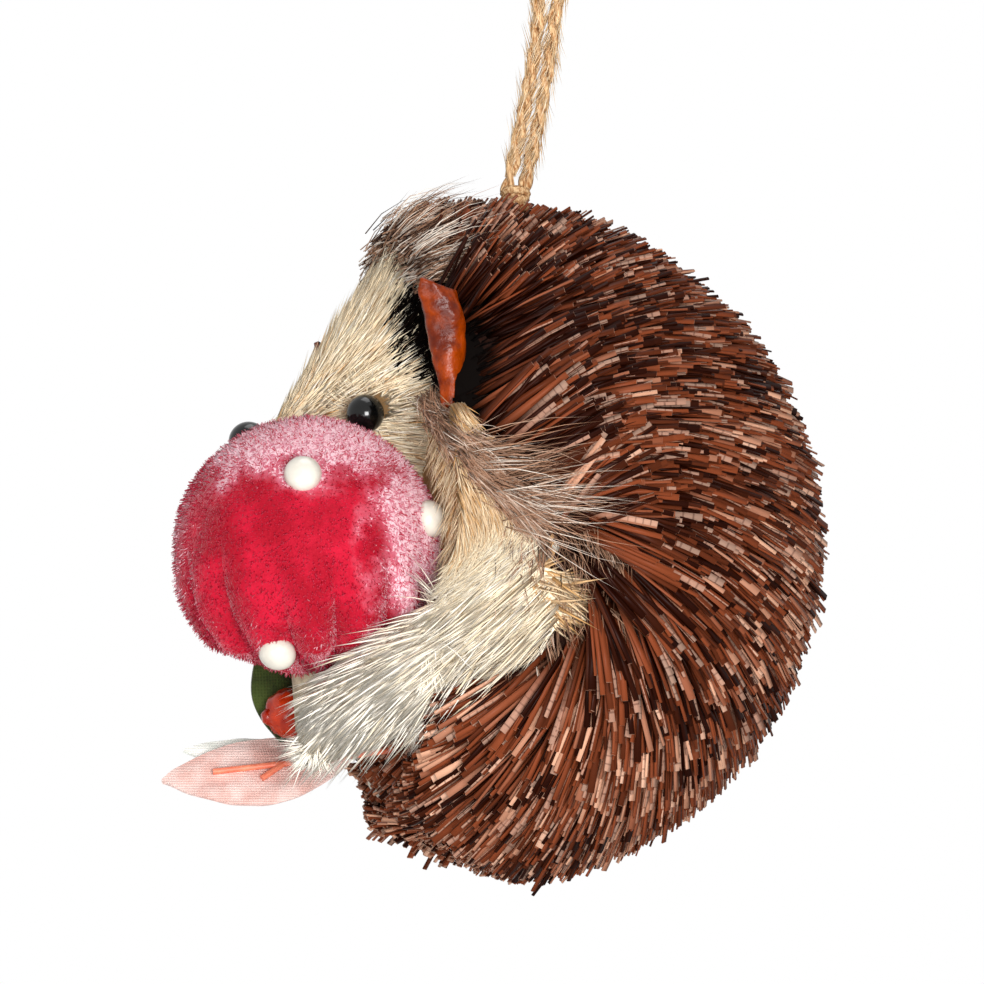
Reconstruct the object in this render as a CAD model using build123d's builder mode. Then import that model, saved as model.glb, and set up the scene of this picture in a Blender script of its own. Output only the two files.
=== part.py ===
from build123d import *
import os
from math import atan2, cos, degrees, pi, radians, sin, sqrt, tan

os.makedirs("parts", exist_ok=True)

# A curled hedgehog that hangs on a loop of twine: a foam ball under rows of stiff quills, a furred
# cone for a face, two furred arms, and a velvet toadstool with a few leaves and a berry held in front.
# The origin is where a hook bears on the inside of the loop. The animal faces -X, its left side is -Y.
# Places called forward, left and up are measured from the ball's centre.

# Shared fits
glue_gap = 0.1
nest_gap = 0.3
overrun = 4.0

# Foam ball, with a flat front that the face and chest are glued to
ball_radius = 40.0
ball_behind_hook = -10.3
ball_below_hook = 97.6
front_distance_share = 0.3
front_tilt_angle = 2.5

# Quill rows: tapes round the back of the ball, from the crown over the back to the rump
row_count = 9
coat_start_angle = 103.0
coat_sweep_angle = 211.0
tape_thickness = 1.5
tape_gap = 0.3
shoulder_hole_angle = 74.0
coat_depth = 10.7
quill_width = 1.5
quill_thickness = 0.7
quill_root_depth = 0.9
quill_lean_angle = 50.0
quill_clearance = 1.0
line_shares = (1 / 6, 1 / 2, 5 / 6)
sample_shares = (0, 1 / 8, 1 / 4, 3 / 8, 1 / 2, 5 / 8, 3 / 4, 7 / 8, 1)
latitude_step_angle = 8.0
middle_reach_angle = 72.0
outer_reach_angle = 56.0
# How the quills are combed on the flanks: turn up from the back, then turn from outward to tailward
comb_angles = (
    (-180, 0), (-104, 0), (-80, 20), (-53, 45), (-18, 45), (20, 60), (71, 75), (98, 70), (180, 60)
)
comb_flank_share = 0.4
flank_latitude_angles = (48.0, 56.0, 64.0, 72.0, 80.0)
flank_turn_angle = 9.0
flank_front_share = 0.85

# Face: a foam cone in a furred pelt
nose_forward = 34.7
nose_up = 14.9
face_droop_angle = 13.0
pelt_thickness = 2.4
face_base_radius = 20.8
face_bulge = 0.5
nose_radius = 2.9
nose_peg_radius = 0.8
nose_peg_length = 9.0
eye_radius = 2.75
eye_behind_nose = 14.9
eye_raise_angle = 3.5
eye_stand_off = 0.6
eye_peg_radius = 0.8
eye_peg_length = 8.0

# Ruff: a fur strip round the base of the face
ruff_ring_radius = 23.8
ruff_strip_radius = 2.6
chest_margin = 2.2
chest_top = 8.0

# Ears: cupped leather ovals on pegs
ear_length = 17.4
ear_width = 10.6
ear_thickness = 0.9
ear_cup_radius = 10.5
ear_forward = 14.2
ear_left = 30.2
ear_up = 29.6
ear_turn_angle = 15.0
ear_tilt_angle = 10.0
ear_peg_radius = 1.2
ear_peg_length = 7.5
ear_peg_inset = 2.2
ear_peg_drop_share = 0.4
right_ear_drop = 4.5
ear_widest_share = 0.06

# Arms: swelling furred limbs from the middle of each flank to the paws
shoulder_forward = 2.0
shoulder_sink = 2.0
shoulder_up = -6.0
paw_forward = 33.6
paw_left = 24.1
paw_up = -27.7
# The right arm isn't seen: it goes round the front's edge, and its paw holds the toadstool's cap from behind
right_shoulder_forward = 9.0
right_shoulder_rise = 0.5
right_paw_forward = 33.0
right_paw_left = -7.0
right_paw_up = -6.0
shoulder_radius = 7.4
elbow_radius = 8.0
paw_radius = 6.4
paw_rounding = 3.4

# Toadstool: a velvet cap gathered over a foam ball, with pearl dots and a stem
cap_radius = 18.9
cap_forward = 30.2
cap_left = 16.8
cap_up = -0.6
cap_skin = 1.2
cap_hem_radius = 4.8
cap_hem_drop = 17.0
cap_shoulder_angle = -38.0
gather_count = 14
gather_width_radius = 1.3
gather_depth = 0.7
gather_height_angle = -40.0
stem_back_angle = 9.8
stem_side_angle = 9.4
stem_length = 26.0
stem_socket_depth = 6.0
stem_top_radius = 4.2
stem_foot_radius = 5.0
dot_radius = 2.75
# Turn about the vertical from straight ahead towards the left, and height above level, in degrees
dot_angles = ((73.5, 35.2), (51.2, -54.6), (166.6, 12.8), (-58.0, 18.0), (-80.0, -32.0))

# Leaves and berry on their stalks, glued into the chest
stalk_radius = 0.6
stalk_bead_radius = 0.9
leaf_thickness = 0.5
leaf_curl_radius = 28.0
leaf_tail = 2.2
leaf_widest_share = 0.45
rib_radius = 0.45
rib_length_share = 0.7
rib_branch_share = 0.29
rib_branch_length = 4.0
rib_branch_angle = 34.0
# Each leaf: base and tip as forward, left, up; width; turn of the blade about its length
pink_leaf_base = (23.0, 4.0, -31.4)
pink_leaf_tip = (47.0, -2.3, -34.2)
pink_leaf_width = 12.0
pink_leaf_angle = 42.0
pale_leaf_base = (25.0, -2.5, -30.6)
pale_leaf_tip = (42.6, -7.4, -30.0)
pale_leaf_width = 6.0
pale_leaf_angle = 50.0
green_leaf_base = (29.8, -1.4, -26.4)
green_leaf_tip = (31.2, -3.6, -12.4)
green_leaf_width = 9.0
green_leaf_angle = 12.0
pink_stalk_root = (4.0, -29.4)
pale_stalk_root = (-2.0, -27.0)
green_stalk_root = (-4.5, -23.0)
berry_stalk_root = (3.0, -21.0)
berry_centre = (29.4, 3.0, -24.2)
berry_radius = 3.5
berry_stalk_entry = 2.0
calyx_radius = 1.7
calyx_tip_radius = 0.9
calyx_length = 2.6
calyx_start_share = 0.82

# Twine loop: a doubled jute twine with a knot where it leaves the quills
twine_radius = 0.9
knot_angle = 84.2
knot_sink = 0.7
knot_radius = 2.6
root_radius = 2.3
root_anchor = 5.0
# The loop's route as right of and below the hook, up the left leg, round the eye and down the right leg
twine_route = (
    (-6.45, -46.6), (-4.25, -37.2), (-2.3, -27.1), (-1.12, -17.6),
    (-6.5, -8.3), (-6.5, -2.9), (-2.7, 0.9), (2.7, 0.9), (6.5, -2.9), (6.5, -8.3),
    (1.12, -17.7), (0.05, -27.3), (-1.85, -37.8), (-4.05, -47.0),
)
bend_share = 0.45


def from_centre(forward, left, up):
    """A point from its distances forward, left and up of the ball's centre."""
    return ball_centre + Vector(-forward, -left, up)


def write(piece, name):
    """Labels a finished piece and writes it as its own file."""
    piece.part.label = name
    export_step(piece.part, f"parts/{name}.step")


# Places that several pieces share
front_distance = ball_radius * front_distance_share
quill_tip_radius = ball_radius + coat_depth
knot_distance = quill_tip_radius - knot_sink
root_depth = knot_distance - ball_radius + root_anchor
ball_centre = Vector(ball_behind_hook, 0, -ball_below_hook)
side_axis = Axis(ball_centre, (0, 1, 0))
front_normal = Vector(-cos(radians(front_tilt_angle)), 0, sin(radians(front_tilt_angle)))
front_plane = Plane(ball_centre + front_normal * front_distance, x_dir=(0, -1, 0), z_dir=front_normal)
front_radius = sqrt(ball_radius**2 - front_distance**2)

droop = radians(face_droop_angle)
face_axis = Vector(-cos(droop), 0, -sin(droop))
face_up = Vector(-sin(droop), 0, cos(droop))
nose_centre = from_centre(nose_forward, 0, nose_up)
nose_reach = (nose_centre - front_plane.origin).dot(front_normal) / face_axis.dot(front_normal)
face_base = nose_centre - face_axis * nose_reach
face_plane = Plane(face_base, x_dir=face_axis, z_dir=(0, 1, 0))
face_slope = atan2(face_base_radius, nose_reach)

eye_station = nose_reach - eye_behind_nose
eye_surface_radius = (nose_reach - eye_station) * tan(face_slope)
eye_side = Vector(0, -cos(radians(eye_raise_angle)), 0) + face_up * sin(radians(eye_raise_angle))
eye_outward = eye_side * cos(face_slope) + face_axis * sin(face_slope)
left_eye_centre = face_base + face_axis * eye_station + eye_side * eye_surface_radius
left_eye_centre += eye_outward * eye_stand_off
left_eye_plane = Plane(left_eye_centre, x_dir=face_up, z_dir=eye_outward)
nose_plane = Plane(nose_centre, x_dir=(0, 1, 0), z_dir=face_axis)

ear_turn = radians(ear_turn_angle)
ear_lean = radians(ear_tilt_angle)
ear_facing = Vector(-cos(ear_lean) * cos(ear_turn), -cos(ear_lean) * sin(ear_turn), -sin(ear_lean))
ear_across = Vector(sin(ear_turn), -cos(ear_turn), 0)
ear_plane = Plane(from_centre(ear_forward, ear_left, ear_up), x_dir=ear_across, z_dir=ear_facing)
ear_peg_drop = ear_length * ear_peg_drop_share
ear_root_depth = ear_cup_radius - sqrt(ear_cup_radius**2 - ear_peg_drop**2 - ear_peg_inset**2)
ear_root = ear_plane.from_local_coords((-ear_peg_inset, -ear_peg_drop, ear_root_depth - ear_thickness))
ear_peg_plane = Plane(ear_root, x_dir=(0, 1, 0), z_dir=-front_normal)


def mirrored(plane, drop=0):
    """The plane at the same place on the animal's other side, or a drop lower there."""
    other_origin = Vector(plane.origin.X, -plane.origin.Y, plane.origin.Z - drop)
    other_x = Vector(plane.x_dir.X, -plane.x_dir.Y, plane.x_dir.Z)
    other_z = Vector(plane.z_dir.X, -plane.z_dir.Y, plane.z_dir.Z)
    return Plane(other_origin, x_dir=other_x, z_dir=other_z)


right_ear_place = Location((0, 0, -right_ear_drop))
right_ear_plane = mirrored(ear_plane, right_ear_drop)
right_ear_peg_plane = mirrored(ear_peg_plane, right_ear_drop)

left_shoulder = from_centre(shoulder_forward, ball_radius - shoulder_sink, shoulder_up)
left_paw = from_centre(paw_forward, paw_left, paw_up)
right_shoulder = from_centre(right_shoulder_forward, -ball_radius - right_shoulder_rise, shoulder_up)
right_paw = from_centre(right_paw_forward, right_paw_left, right_paw_up)


def arm_plane(shoulder, paw):
    """The plane of an arm's half section, along the arm from its shoulder."""
    along = (paw - shoulder).normalized()
    return Plane(shoulder, x_dir=along, z_dir=along.cross(Vector(0, 0, 1)))


left_arm_plane = arm_plane(left_shoulder, left_paw)
right_arm_plane = arm_plane(right_shoulder, right_paw)
left_arm_length = (left_paw - left_shoulder).length
right_arm_length = (right_paw - right_shoulder).length

cap_centre = from_centre(cap_forward, cap_left, cap_up)
stem_direction = Vector(sin(radians(stem_back_angle)), sin(radians(stem_side_angle)), 0)
stem_direction += Vector(0, 0, -sqrt(1 - stem_direction.length**2))
cap_plane = Plane(cap_centre, x_dir=(0, 1, 0), z_dir=-stem_direction)
cap_section_plane = Plane(cap_centre, x_dir=cap_plane.x_dir, z_dir=-cap_plane.y_dir)
stem_plane = Plane(cap_centre, x_dir=cap_plane.x_dir, z_dir=stem_direction)

tape_inner_radius = ball_radius + glue_gap
tape_outer_radius = tape_inner_radius + tape_thickness
row_angle = coat_sweep_angle / row_count
tape_gap_angle = degrees(tape_gap / tape_outer_radius)
lean = radians(quill_lean_angle)
quill_reach = sqrt(quill_tip_radius**2 - (tape_outer_radius * sin(lean)) ** 2) - tape_outer_radius * cos(lean)
quill_buried = quill_root_depth / cos(lean)

knot_outward = Vector(cos(radians(knot_angle)), 0, sin(radians(knot_angle)))
knot_centre = ball_centre + knot_outward * knot_distance
knot_plane = Plane(knot_centre, x_dir=(0, 1, 0), z_dir=knot_outward)
knot_clear_radius = knot_radius + nest_gap


dot_centres = []
for dot_turn, dot_height in dot_angles:
    level = cos(radians(dot_height))
    dot_outward = Vector(-cos(radians(dot_turn)) * level, -sin(radians(dot_turn)) * level, 0)
    dot_outward += Vector(0, 0, sin(radians(dot_height)))
    dot_centres.append(cap_centre + dot_outward * cap_radius)


def leaf_plane(base, tip, roll):
    """The plane of a leaf's blade: along it from the base, facing the animal's left and rolled upward."""
    start = from_centre(*base)
    along = (from_centre(*tip) - start).normalized()
    left = Vector(0, -1, 0)
    left = (left - along * left.dot(along)).normalized()
    above = left.cross(along)
    above = above if above.Z > 0 else -above
    return Plane(start, x_dir=along, z_dir=left * cos(radians(roll)) + above * sin(radians(roll)))


def leaf_length(base, tip):
    return (from_centre(*tip) - from_centre(*base)).length


pink_plane = leaf_plane(pink_leaf_base, pink_leaf_tip, pink_leaf_angle)
rib_height = leaf_thickness + glue_gap + rib_radius
rib_start = pink_plane.from_local_coords((0, 0, rib_height))
stalks = (
    (from_centre(front_distance, *pink_stalk_root), rib_start),
    (from_centre(front_distance, *pale_stalk_root), from_centre(*pale_leaf_base)),
    (from_centre(front_distance, *green_stalk_root), from_centre(*green_leaf_base)),
    (from_centre(front_distance, *berry_stalk_root), from_centre(*berry_centre)),
)
pink_stalk, pale_stalk, green_stalk, berry_stalk = stalks


def add_stalk(stalk, radius, length, mode=Mode.ADD):
    """Adds, or cuts, a straight stalk from its glued end towards what it carries."""
    start, end = stalk
    with Locations(Plane(start, z_dir=end - start)):
        Cylinder(radius, length, align=(Align.CENTER, Align.CENTER, Align.MIN), mode=mode)


def cut_stalk_holes():
    """Cuts the glued stalks' holes out of the piece in hand."""
    for stalk in stalks:
        start, end = stalk
        add_stalk(stalk, stalk_radius + glue_gap, (end - start).length, mode=Mode.SUBTRACT)


def turned_away(centre):
    """A plane at a ball's centre that keeps the ball's seam in front and its poles at the sides."""
    return Plane(centre, x_dir=(-1, 0, 0), z_dir=(0, 1, 0))


def cut_nest():
    """Cuts the hollow that the toadstool's cap and dots sit in out of the piece in hand."""
    with Locations(turned_away(cap_centre)):
        Sphere(cap_radius + nest_gap, mode=Mode.SUBTRACT)
    with Locations(*[turned_away(centre) for centre in dot_centres]):
        Sphere(dot_radius + nest_gap, mode=Mode.SUBTRACT)


def cut_bead(plane, bead_radius, peg_radius, peg_length):
    """Cuts a bead's seat and its peg's hole out of the piece in hand."""
    with Locations(plane):
        Sphere(bead_radius + glue_gap, mode=Mode.SUBTRACT)
        Cylinder(
            peg_radius + glue_gap,
            peg_length + glue_gap,
            align=(Align.CENTER, Align.CENTER, Align.MAX),
            mode=Mode.SUBTRACT,
        )


def cut_face_beads():
    """Cuts the seats of the nose and both eyes out of the piece in hand."""
    cut_bead(nose_plane, nose_radius, nose_peg_radius, nose_peg_length)
    cut_bead(left_eye_plane, eye_radius, eye_peg_radius, eye_peg_length)
    cut_bead(mirrored(left_eye_plane), eye_radius, eye_peg_radius, eye_peg_length)


# Foam ball
with BuildPart() as foam_ball:
    with Locations(turned_away(ball_centre)):
        Sphere(ball_radius)
    split(bisect_by=front_plane, keep=Keep.BOTTOM)
    cut_stalk_holes()
    cut_nest()
    with Locations(ear_peg_plane, right_ear_peg_plane):
        Cylinder(
            ear_peg_radius + glue_gap,
            ear_peg_length + glue_gap,
            align=(Align.CENTER, Align.CENTER, Align.MIN),
            mode=Mode.SUBTRACT,
        )
    with Locations(knot_plane):
        Cylinder(root_radius + glue_gap, 2 * (root_depth + glue_gap), mode=Mode.SUBTRACT)
write(foam_ball, "foam_ball")


def meridian_plane(angle):
    """The half plane through the ball's side-to-side axis, turned up from the back by an angle."""
    turn = radians(angle)
    return Plane(ball_centre, x_dir=(cos(turn), 0, sin(turn)), z_dir=(-sin(turn), 0, cos(turn)))


def distance_to_arm(point):
    """The distance from a point to the nearer arm's centre line."""
    distances = []
    for plane, length in ((left_arm_plane, left_arm_length), (right_arm_plane, right_arm_length)):
        offset = point - plane.origin
        along = min(max(offset.dot(plane.x_dir), 0), length)
        distances.append((offset - plane.x_dir * along).length)
    return min(distances)


def on_ball(turn, latitude):
    """The direction from the ball's centre at a turn up from the back and a latitude, in degrees."""
    level = cos(radians(latitude))
    return Vector(cos(radians(turn)) * level, sin(radians(latitude)), sin(radians(turn)) * level)


def combed_way(turn, latitude):
    """The way the quills are combed there: round the ball, and on the flanks also out from its sides."""
    tailward = Vector(sin(radians(turn)), 0, -cos(radians(turn)))
    outward = on_ball(turn, latitude)
    side = Vector(0, 1 if latitude > 0 else -1, 0)
    away = (outward * outward.dot(side) - side).normalized()
    comb = next(
        low_comb + (high_comb - low_comb) * (turn - low) / (high - low)
        for (low, low_comb), (high, high_comb) in zip(comb_angles, comb_angles[1:])
        if turn <= high
    )
    share = min(1, abs(outward.Y) / comb_flank_share)
    comb = radians(90 + (comb - 90) * share**2 * (3 - 2 * share))
    return away * cos(comb) + tailward * sin(comb)


def quill_plane(turn, latitude):
    """The plane that a quill grows from, or nothing if it would meet another piece."""
    outward = on_ball(turn, latitude)
    tailward = combed_way(turn, latitude)
    direction = outward * cos(lean) + tailward * sin(lean)
    skin = ball_centre + outward * tape_outer_radius
    places = [skin + direction * quill_reach * share_along for share_along in sample_shares]
    if min(distance_to_arm(place) for place in places) < elbow_radius + quill_clearance:
        return None
    from_knot = [place - knot_centre for place in places]
    if min(offset.length for offset in from_knot) < knot_clear_radius + quill_clearance:
        return None
    root_room = min(offset.cross(knot_outward).length for offset in from_knot)
    if turn > 0 and root_room < root_radius + quill_clearance:
        return None
    for ear_centre in (ear_plane.origin, right_ear_plane.origin):
        if min((place - ear_centre).length for place in places) < ear_length / 2 + quill_clearance:
            return None
    front_room = min((front_plane.origin - place).dot(front_normal) for place in places)
    if outward.Z > 0 and front_room < quill_clearance:
        return None
    return Plane(skin - direction * quill_buried, x_dir=outward.cross(tailward), z_dir=direction)


def quill_planes(start):
    """The planes that one row's quills grow from."""
    planes = []
    for share in line_shares:
        reach = middle_reach_angle if share == line_shares[1] else outer_reach_angle
        steps = round(reach / latitude_step_angle)
        for step in range(-steps, steps + 1):
            planes.append(quill_plane(start - row_angle * share, step * latitude_step_angle))
    return [plane for plane in planes if plane]


def flank_planes(side):
    """The planes that one flank's quills grow from, on the pelt that the tapes leave bare."""
    planes = []
    for latitude in flank_latitude_angles:
        for step in range(round(360 / flank_turn_angle)):
            turn = step * flank_turn_angle - 180 + flank_turn_angle / 2
            spacing = flank_turn_angle / cos(radians(latitude)) / 2
            under_tape = coat_start_angle - coat_sweep_angle <= turn <= coat_start_angle
            if under_tape and latitude < shoulder_hole_angle:
                continue
            if on_ball(turn, latitude).X * tape_outer_radius < -front_distance * flank_front_share:
                continue
            if step % max(1, round(spacing / flank_turn_angle)):
                continue
            planes.append(quill_plane(turn, side * latitude))
    return [plane for plane in planes if plane]


quill_count = 0
for number in range(1, row_count + 1):
    row_start = coat_start_angle - (number - 1) * row_angle
    row_planes = quill_planes(row_start)
    quill_count += len(row_planes)
    with BuildPart() as quill_row:
        with BuildSketch(meridian_plane(row_start - tape_gap_angle / 2)):
            with BuildLine():
                outer = CenterArc((0, 0), tape_outer_radius, -shoulder_hole_angle, 2 * shoulder_hole_angle)
                inner = CenterArc((0, 0), tape_inner_radius, -shoulder_hole_angle, 2 * shoulder_hole_angle)
                Line(outer @ 0, inner @ 0)
                Line(outer @ 1, inner @ 1)
            make_face()
        revolve(axis=side_axis, revolution_arc=row_angle - tape_gap_angle)
        with BuildSketch(*row_planes):
            Rectangle(quill_width, quill_thickness)
        extrude(amount=quill_buried + quill_reach)
        with Locations(knot_plane):
            Cylinder(root_radius + glue_gap, 2 * root_depth, mode=Mode.SUBTRACT)
    write(quill_row, f"quill_row_{number}")
print("quills", quill_count)

# Flank pelts: fur cloth over the foam that neither the quill tapes nor the face cover
coat_turn = coat_sweep_angle + 2 * tape_gap_angle
with BuildPart() as tape_room:
    with BuildSketch(meridian_plane(coat_start_angle + tape_gap_angle)):
        with BuildLine():
            room_latitude = shoulder_hole_angle + tape_gap_angle
            outer = CenterArc((0, 0), tape_outer_radius + overrun, -room_latitude, 2 * room_latitude)
            inner = CenterArc((0, 0), tape_inner_radius - overrun, -room_latitude, 2 * room_latitude)
            Line(outer @ 0, inner @ 0)
            Line(outer @ 1, inner @ 1)
        make_face()
    revolve(axis=side_axis, revolution_arc=coat_turn)

with BuildPart() as left_flank_pelt:
    with Locations(turned_away(ball_centre)):
        Sphere(tape_outer_radius)
        Sphere(tape_inner_radius, mode=Mode.SUBTRACT)
    split(bisect_by=front_plane, keep=Keep.BOTTOM)
    split(bisect_by=Plane.XZ, keep=Keep.TOP)
    add(tape_room.part, mode=Mode.SUBTRACT)
    bare_pelt = left_flank_pelt.part
    left_planes = flank_planes(-1)
    with BuildSketch(*left_planes):
        Rectangle(quill_width, quill_thickness)
    extrude(amount=quill_buried + quill_reach)
write(left_flank_pelt, "left_flank_pelt")

with BuildPart() as right_flank_pelt:
    mirror(bare_pelt, about=Plane.XZ)
    right_planes = flank_planes(1)
    with BuildSketch(*right_planes):
        Rectangle(quill_width, quill_thickness)
    extrude(amount=quill_buried + quill_reach)
print("flank quills", len(left_planes), len(right_planes))
write(right_flank_pelt, "right_flank_pelt")


def face_half_section(depth):
    """Draws the side of the face cone, a depth under the fur's surface, from behind its base to its tip."""
    back = (-overrun, (nose_reach + overrun) * tan(face_slope) - depth / cos(face_slope))
    tip = (nose_reach - depth / sin(face_slope), 0)
    swell = (face_bulge * sin(face_slope), face_bulge * cos(face_slope))
    middle = ((back[0] + tip[0]) / 2 + swell[0], (back[1] + tip[1]) / 2 + swell[1])
    return ThreePointArc(back, middle, tip)


# The room that the face takes up
with BuildPart() as face_room:
    with BuildSketch(face_plane):
        with BuildLine():
            side = face_half_section(-glue_gap)
            Line(side @ 0, (-overrun, 0))
            Line((-overrun, 0), side @ 1)
        make_face()
    revolve(axis=Axis(face_base, face_axis))

# Face core
with BuildPart() as face_core:
    with BuildSketch(face_plane):
        with BuildLine():
            side = face_half_section(pelt_thickness + glue_gap)
            Line(side @ 0, (-overrun, 0))
            Line((-overrun, 0), side @ 1)
        make_face()
    revolve(axis=Axis(face_base, face_axis))
    split(bisect_by=front_plane, keep=Keep.TOP)
    cut_nest()
    cut_face_beads()
write(face_core, "face_core")

# Face pelt
with BuildPart() as face_pelt:
    with BuildSketch(face_plane):
        with BuildLine():
            fur_side = face_half_section(0)
            skin_side = face_half_section(pelt_thickness)
            Line(fur_side @ 0, skin_side @ 0)
            Line(fur_side @ 1, skin_side @ 1)
        make_face()
    revolve(axis=Axis(face_base, face_axis))
    split(bisect_by=front_plane, keep=Keep.TOP)
    cut_nest()
    cut_face_beads()
write(face_pelt, "face_pelt")

# Nose and eyes: beads on pegs
with BuildPart() as nose_bead:
    with Locations(nose_plane):
        Sphere(nose_radius)
        Cylinder(nose_peg_radius, nose_peg_length, align=(Align.CENTER, Align.CENTER, Align.MAX))
write(nose_bead, "nose_bead")

with BuildPart() as left_eye:
    with Locations(left_eye_plane):
        Sphere(eye_radius)
        Cylinder(eye_peg_radius, eye_peg_length, align=(Align.CENTER, Align.CENTER, Align.MAX))
write(left_eye, "left_eye")

with BuildPart() as right_eye:
    mirror(left_eye.part, about=Plane.XZ)
write(right_eye, "right_eye")

# Ruff round the face
ruff_plane = Plane(face_base + front_normal * ruff_strip_radius, x_dir=(0, -1, 0), z_dir=front_normal)
with BuildPart() as ruff:
    with Locations(ruff_plane):
        Torus(ruff_ring_radius, ruff_strip_radius)
    add(face_room.part, mode=Mode.SUBTRACT)
    cut_nest()
write(ruff, "ruff")

# Chest pelt, below the ruff
ruff_room_radius = ruff_ring_radius + ruff_strip_radius + glue_gap
with BuildPart() as chest_pelt:
    with BuildSketch(front_plane):
        Circle(front_radius - chest_margin)
    extrude(amount=pelt_thickness)
    with Locations(ruff_plane):
        Cylinder(ruff_room_radius, 2 * ruff_room_radius, mode=Mode.SUBTRACT)
    split(bisect_by=Plane(from_centre(0, 0, chest_top)), keep=Keep.BOTTOM)
    cut_nest()
    cut_stalk_holes()
write(chest_pelt, "chest_pelt")

# Ears
with BuildPart() as left_ear:
    with BuildSketch(ear_plane):
        with BuildLine():
            ear_widest = -ear_length * ear_widest_share
            outer_side = ThreePointArc((0, -ear_length / 2), (ear_width / 2, ear_widest), (0, ear_length / 2))
            mirror(outer_side, about=Plane.YZ)
        make_face()
    extrude(amount=ear_cup_radius / 2, both=True)
    with Locations(ear_plane.offset(ear_cup_radius)):
        Sphere(ear_cup_radius + ear_thickness, mode=Mode.INTERSECT)
        Sphere(ear_cup_radius, mode=Mode.SUBTRACT)
    with Locations(ear_peg_plane):
        Cylinder(ear_peg_radius, ear_peg_length, align=(Align.CENTER, Align.CENTER, Align.MIN))
write(left_ear, "left_ear")

with BuildPart() as right_ear:
    mirror(left_ear.part.moved(right_ear_place), about=Plane.XZ)
write(right_ear, "right_ear")

# Arms, cut away where they press on the coat, the chest and the toadstool
with BuildPart() as coat_room:
    with Locations(turned_away(ball_centre)):
        Sphere(tape_outer_radius + nest_gap)
    split(bisect_by=front_plane.offset(pelt_thickness + nest_gap), keep=Keep.BOTTOM)



def arm_half_section(length):
    """Draws the side of an arm, from the back of its shoulder to the end of its paw."""
    dome_bend = shoulder_radius / sqrt(2)
    dome = ThreePointArc((-shoulder_radius, 0), (-dome_bend, dome_bend), (0, shoulder_radius))
    paw_start = length - paw_rounding
    flesh = ThreePointArc(dome @ 1, (length / 2, elbow_radius), (paw_start, paw_radius))
    paw_end = TangentArc(flesh @ 1, (length, paw_radius - paw_rounding), tangent=flesh % 1)
    Line(paw_end @ 1, (length, 0))
    Line((length, 0), dome @ 0)


with BuildPart() as left_arm:
    with BuildSketch(left_arm_plane):
        with BuildLine():
            arm_half_section(left_arm_length)
        make_face()
    revolve(axis=Axis(left_shoulder, left_arm_plane.x_dir))
    add(coat_room.part, mode=Mode.SUBTRACT)
    cut_nest()
write(left_arm, "left_arm")

with BuildPart() as right_arm:
    with BuildSketch(right_arm_plane):
        with BuildLine():
            arm_half_section(right_arm_length)
        make_face()
    revolve(axis=Axis(right_shoulder, right_arm_plane.x_dir))
    add(coat_room.part, mode=Mode.SUBTRACT)
    cut_nest()
write(right_arm, "right_arm")


def cap_half_section(depth):
    """Draws the cap's side, a depth under the velvet's surface, from the hem's edge up to the crown."""
    side = CenterArc((0, 0), cap_radius - depth, cap_shoulder_angle, 90 - cap_shoulder_angle)
    gathered = Line((cap_hem_radius, -cap_hem_drop + depth), side @ 0)
    return gathered, side


# Toadstool
cap_axis = Axis(cap_centre, cap_plane.z_dir)
with BuildPart() as cap_core:
    with BuildSketch(cap_section_plane):
        with BuildLine():
            hem_line, crown_line = cap_half_section(cap_skin + glue_gap)
            Line(hem_line @ 0, (0, (hem_line @ 0).Y))
            Line((0, (hem_line @ 0).Y), crown_line @ 1)
        make_face()
    revolve(axis=cap_axis)
    with Locations(stem_plane.offset(cap_hem_drop - stem_socket_depth)):
        Cylinder(
            stem_foot_radius,
            stem_length,
            align=(Align.CENTER, Align.CENTER, Align.MIN),
            mode=Mode.SUBTRACT,
        )
write(cap_core, "cap_core")

gather_planes = []
for gather in range(gather_count):
    gather_turn = radians(360 * gather / gather_count)
    gather_rise = radians(gather_height_angle)
    sideways = cap_plane.x_dir * cos(gather_turn) + cap_plane.y_dir * sin(gather_turn)
    gather_outward = sideways * cos(gather_rise) + cap_plane.z_dir * sin(gather_rise)
    gather_along = cap_plane.z_dir * cos(gather_rise) - sideways * sin(gather_rise)
    gather_reach = cap_radius + gather_width_radius - gather_depth
    gather_planes.append(
        Plane(cap_centre + gather_outward * gather_reach, x_dir=gather_outward, z_dir=gather_along)
    )
with BuildPart() as cap_velvet:
    with BuildSketch(cap_section_plane):
        with BuildLine():
            outer_hem, outer_crown = cap_half_section(0)
            inner_hem, inner_crown = cap_half_section(cap_skin)
            Line(outer_hem @ 0, inner_hem @ 0)
            Line(outer_crown @ 1, inner_crown @ 1)
        make_face()
    revolve(axis=cap_axis)
    with Locations(*gather_planes):
        Cylinder(gather_width_radius, cap_radius, mode=Mode.SUBTRACT)
write(cap_velvet, "cap_velvet")

with BuildPart() as cap_dots:
    with Locations(*dot_centres):
        Sphere(dot_radius)
    with Locations(cap_centre):
        Sphere(cap_radius + glue_gap, mode=Mode.SUBTRACT)
write(cap_dots, "cap_dots")

stem_start = cap_hem_drop - stem_socket_depth + glue_gap
with BuildPart() as mushroom_stem:
    with Locations(stem_plane.offset(stem_start)):
        Cone(
            stem_top_radius,
            stem_foot_radius,
            stem_length - stem_start,
            align=(Align.CENTER, Align.CENTER, Align.MIN),
        )
write(mushroom_stem, "mushroom_stem")


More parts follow.
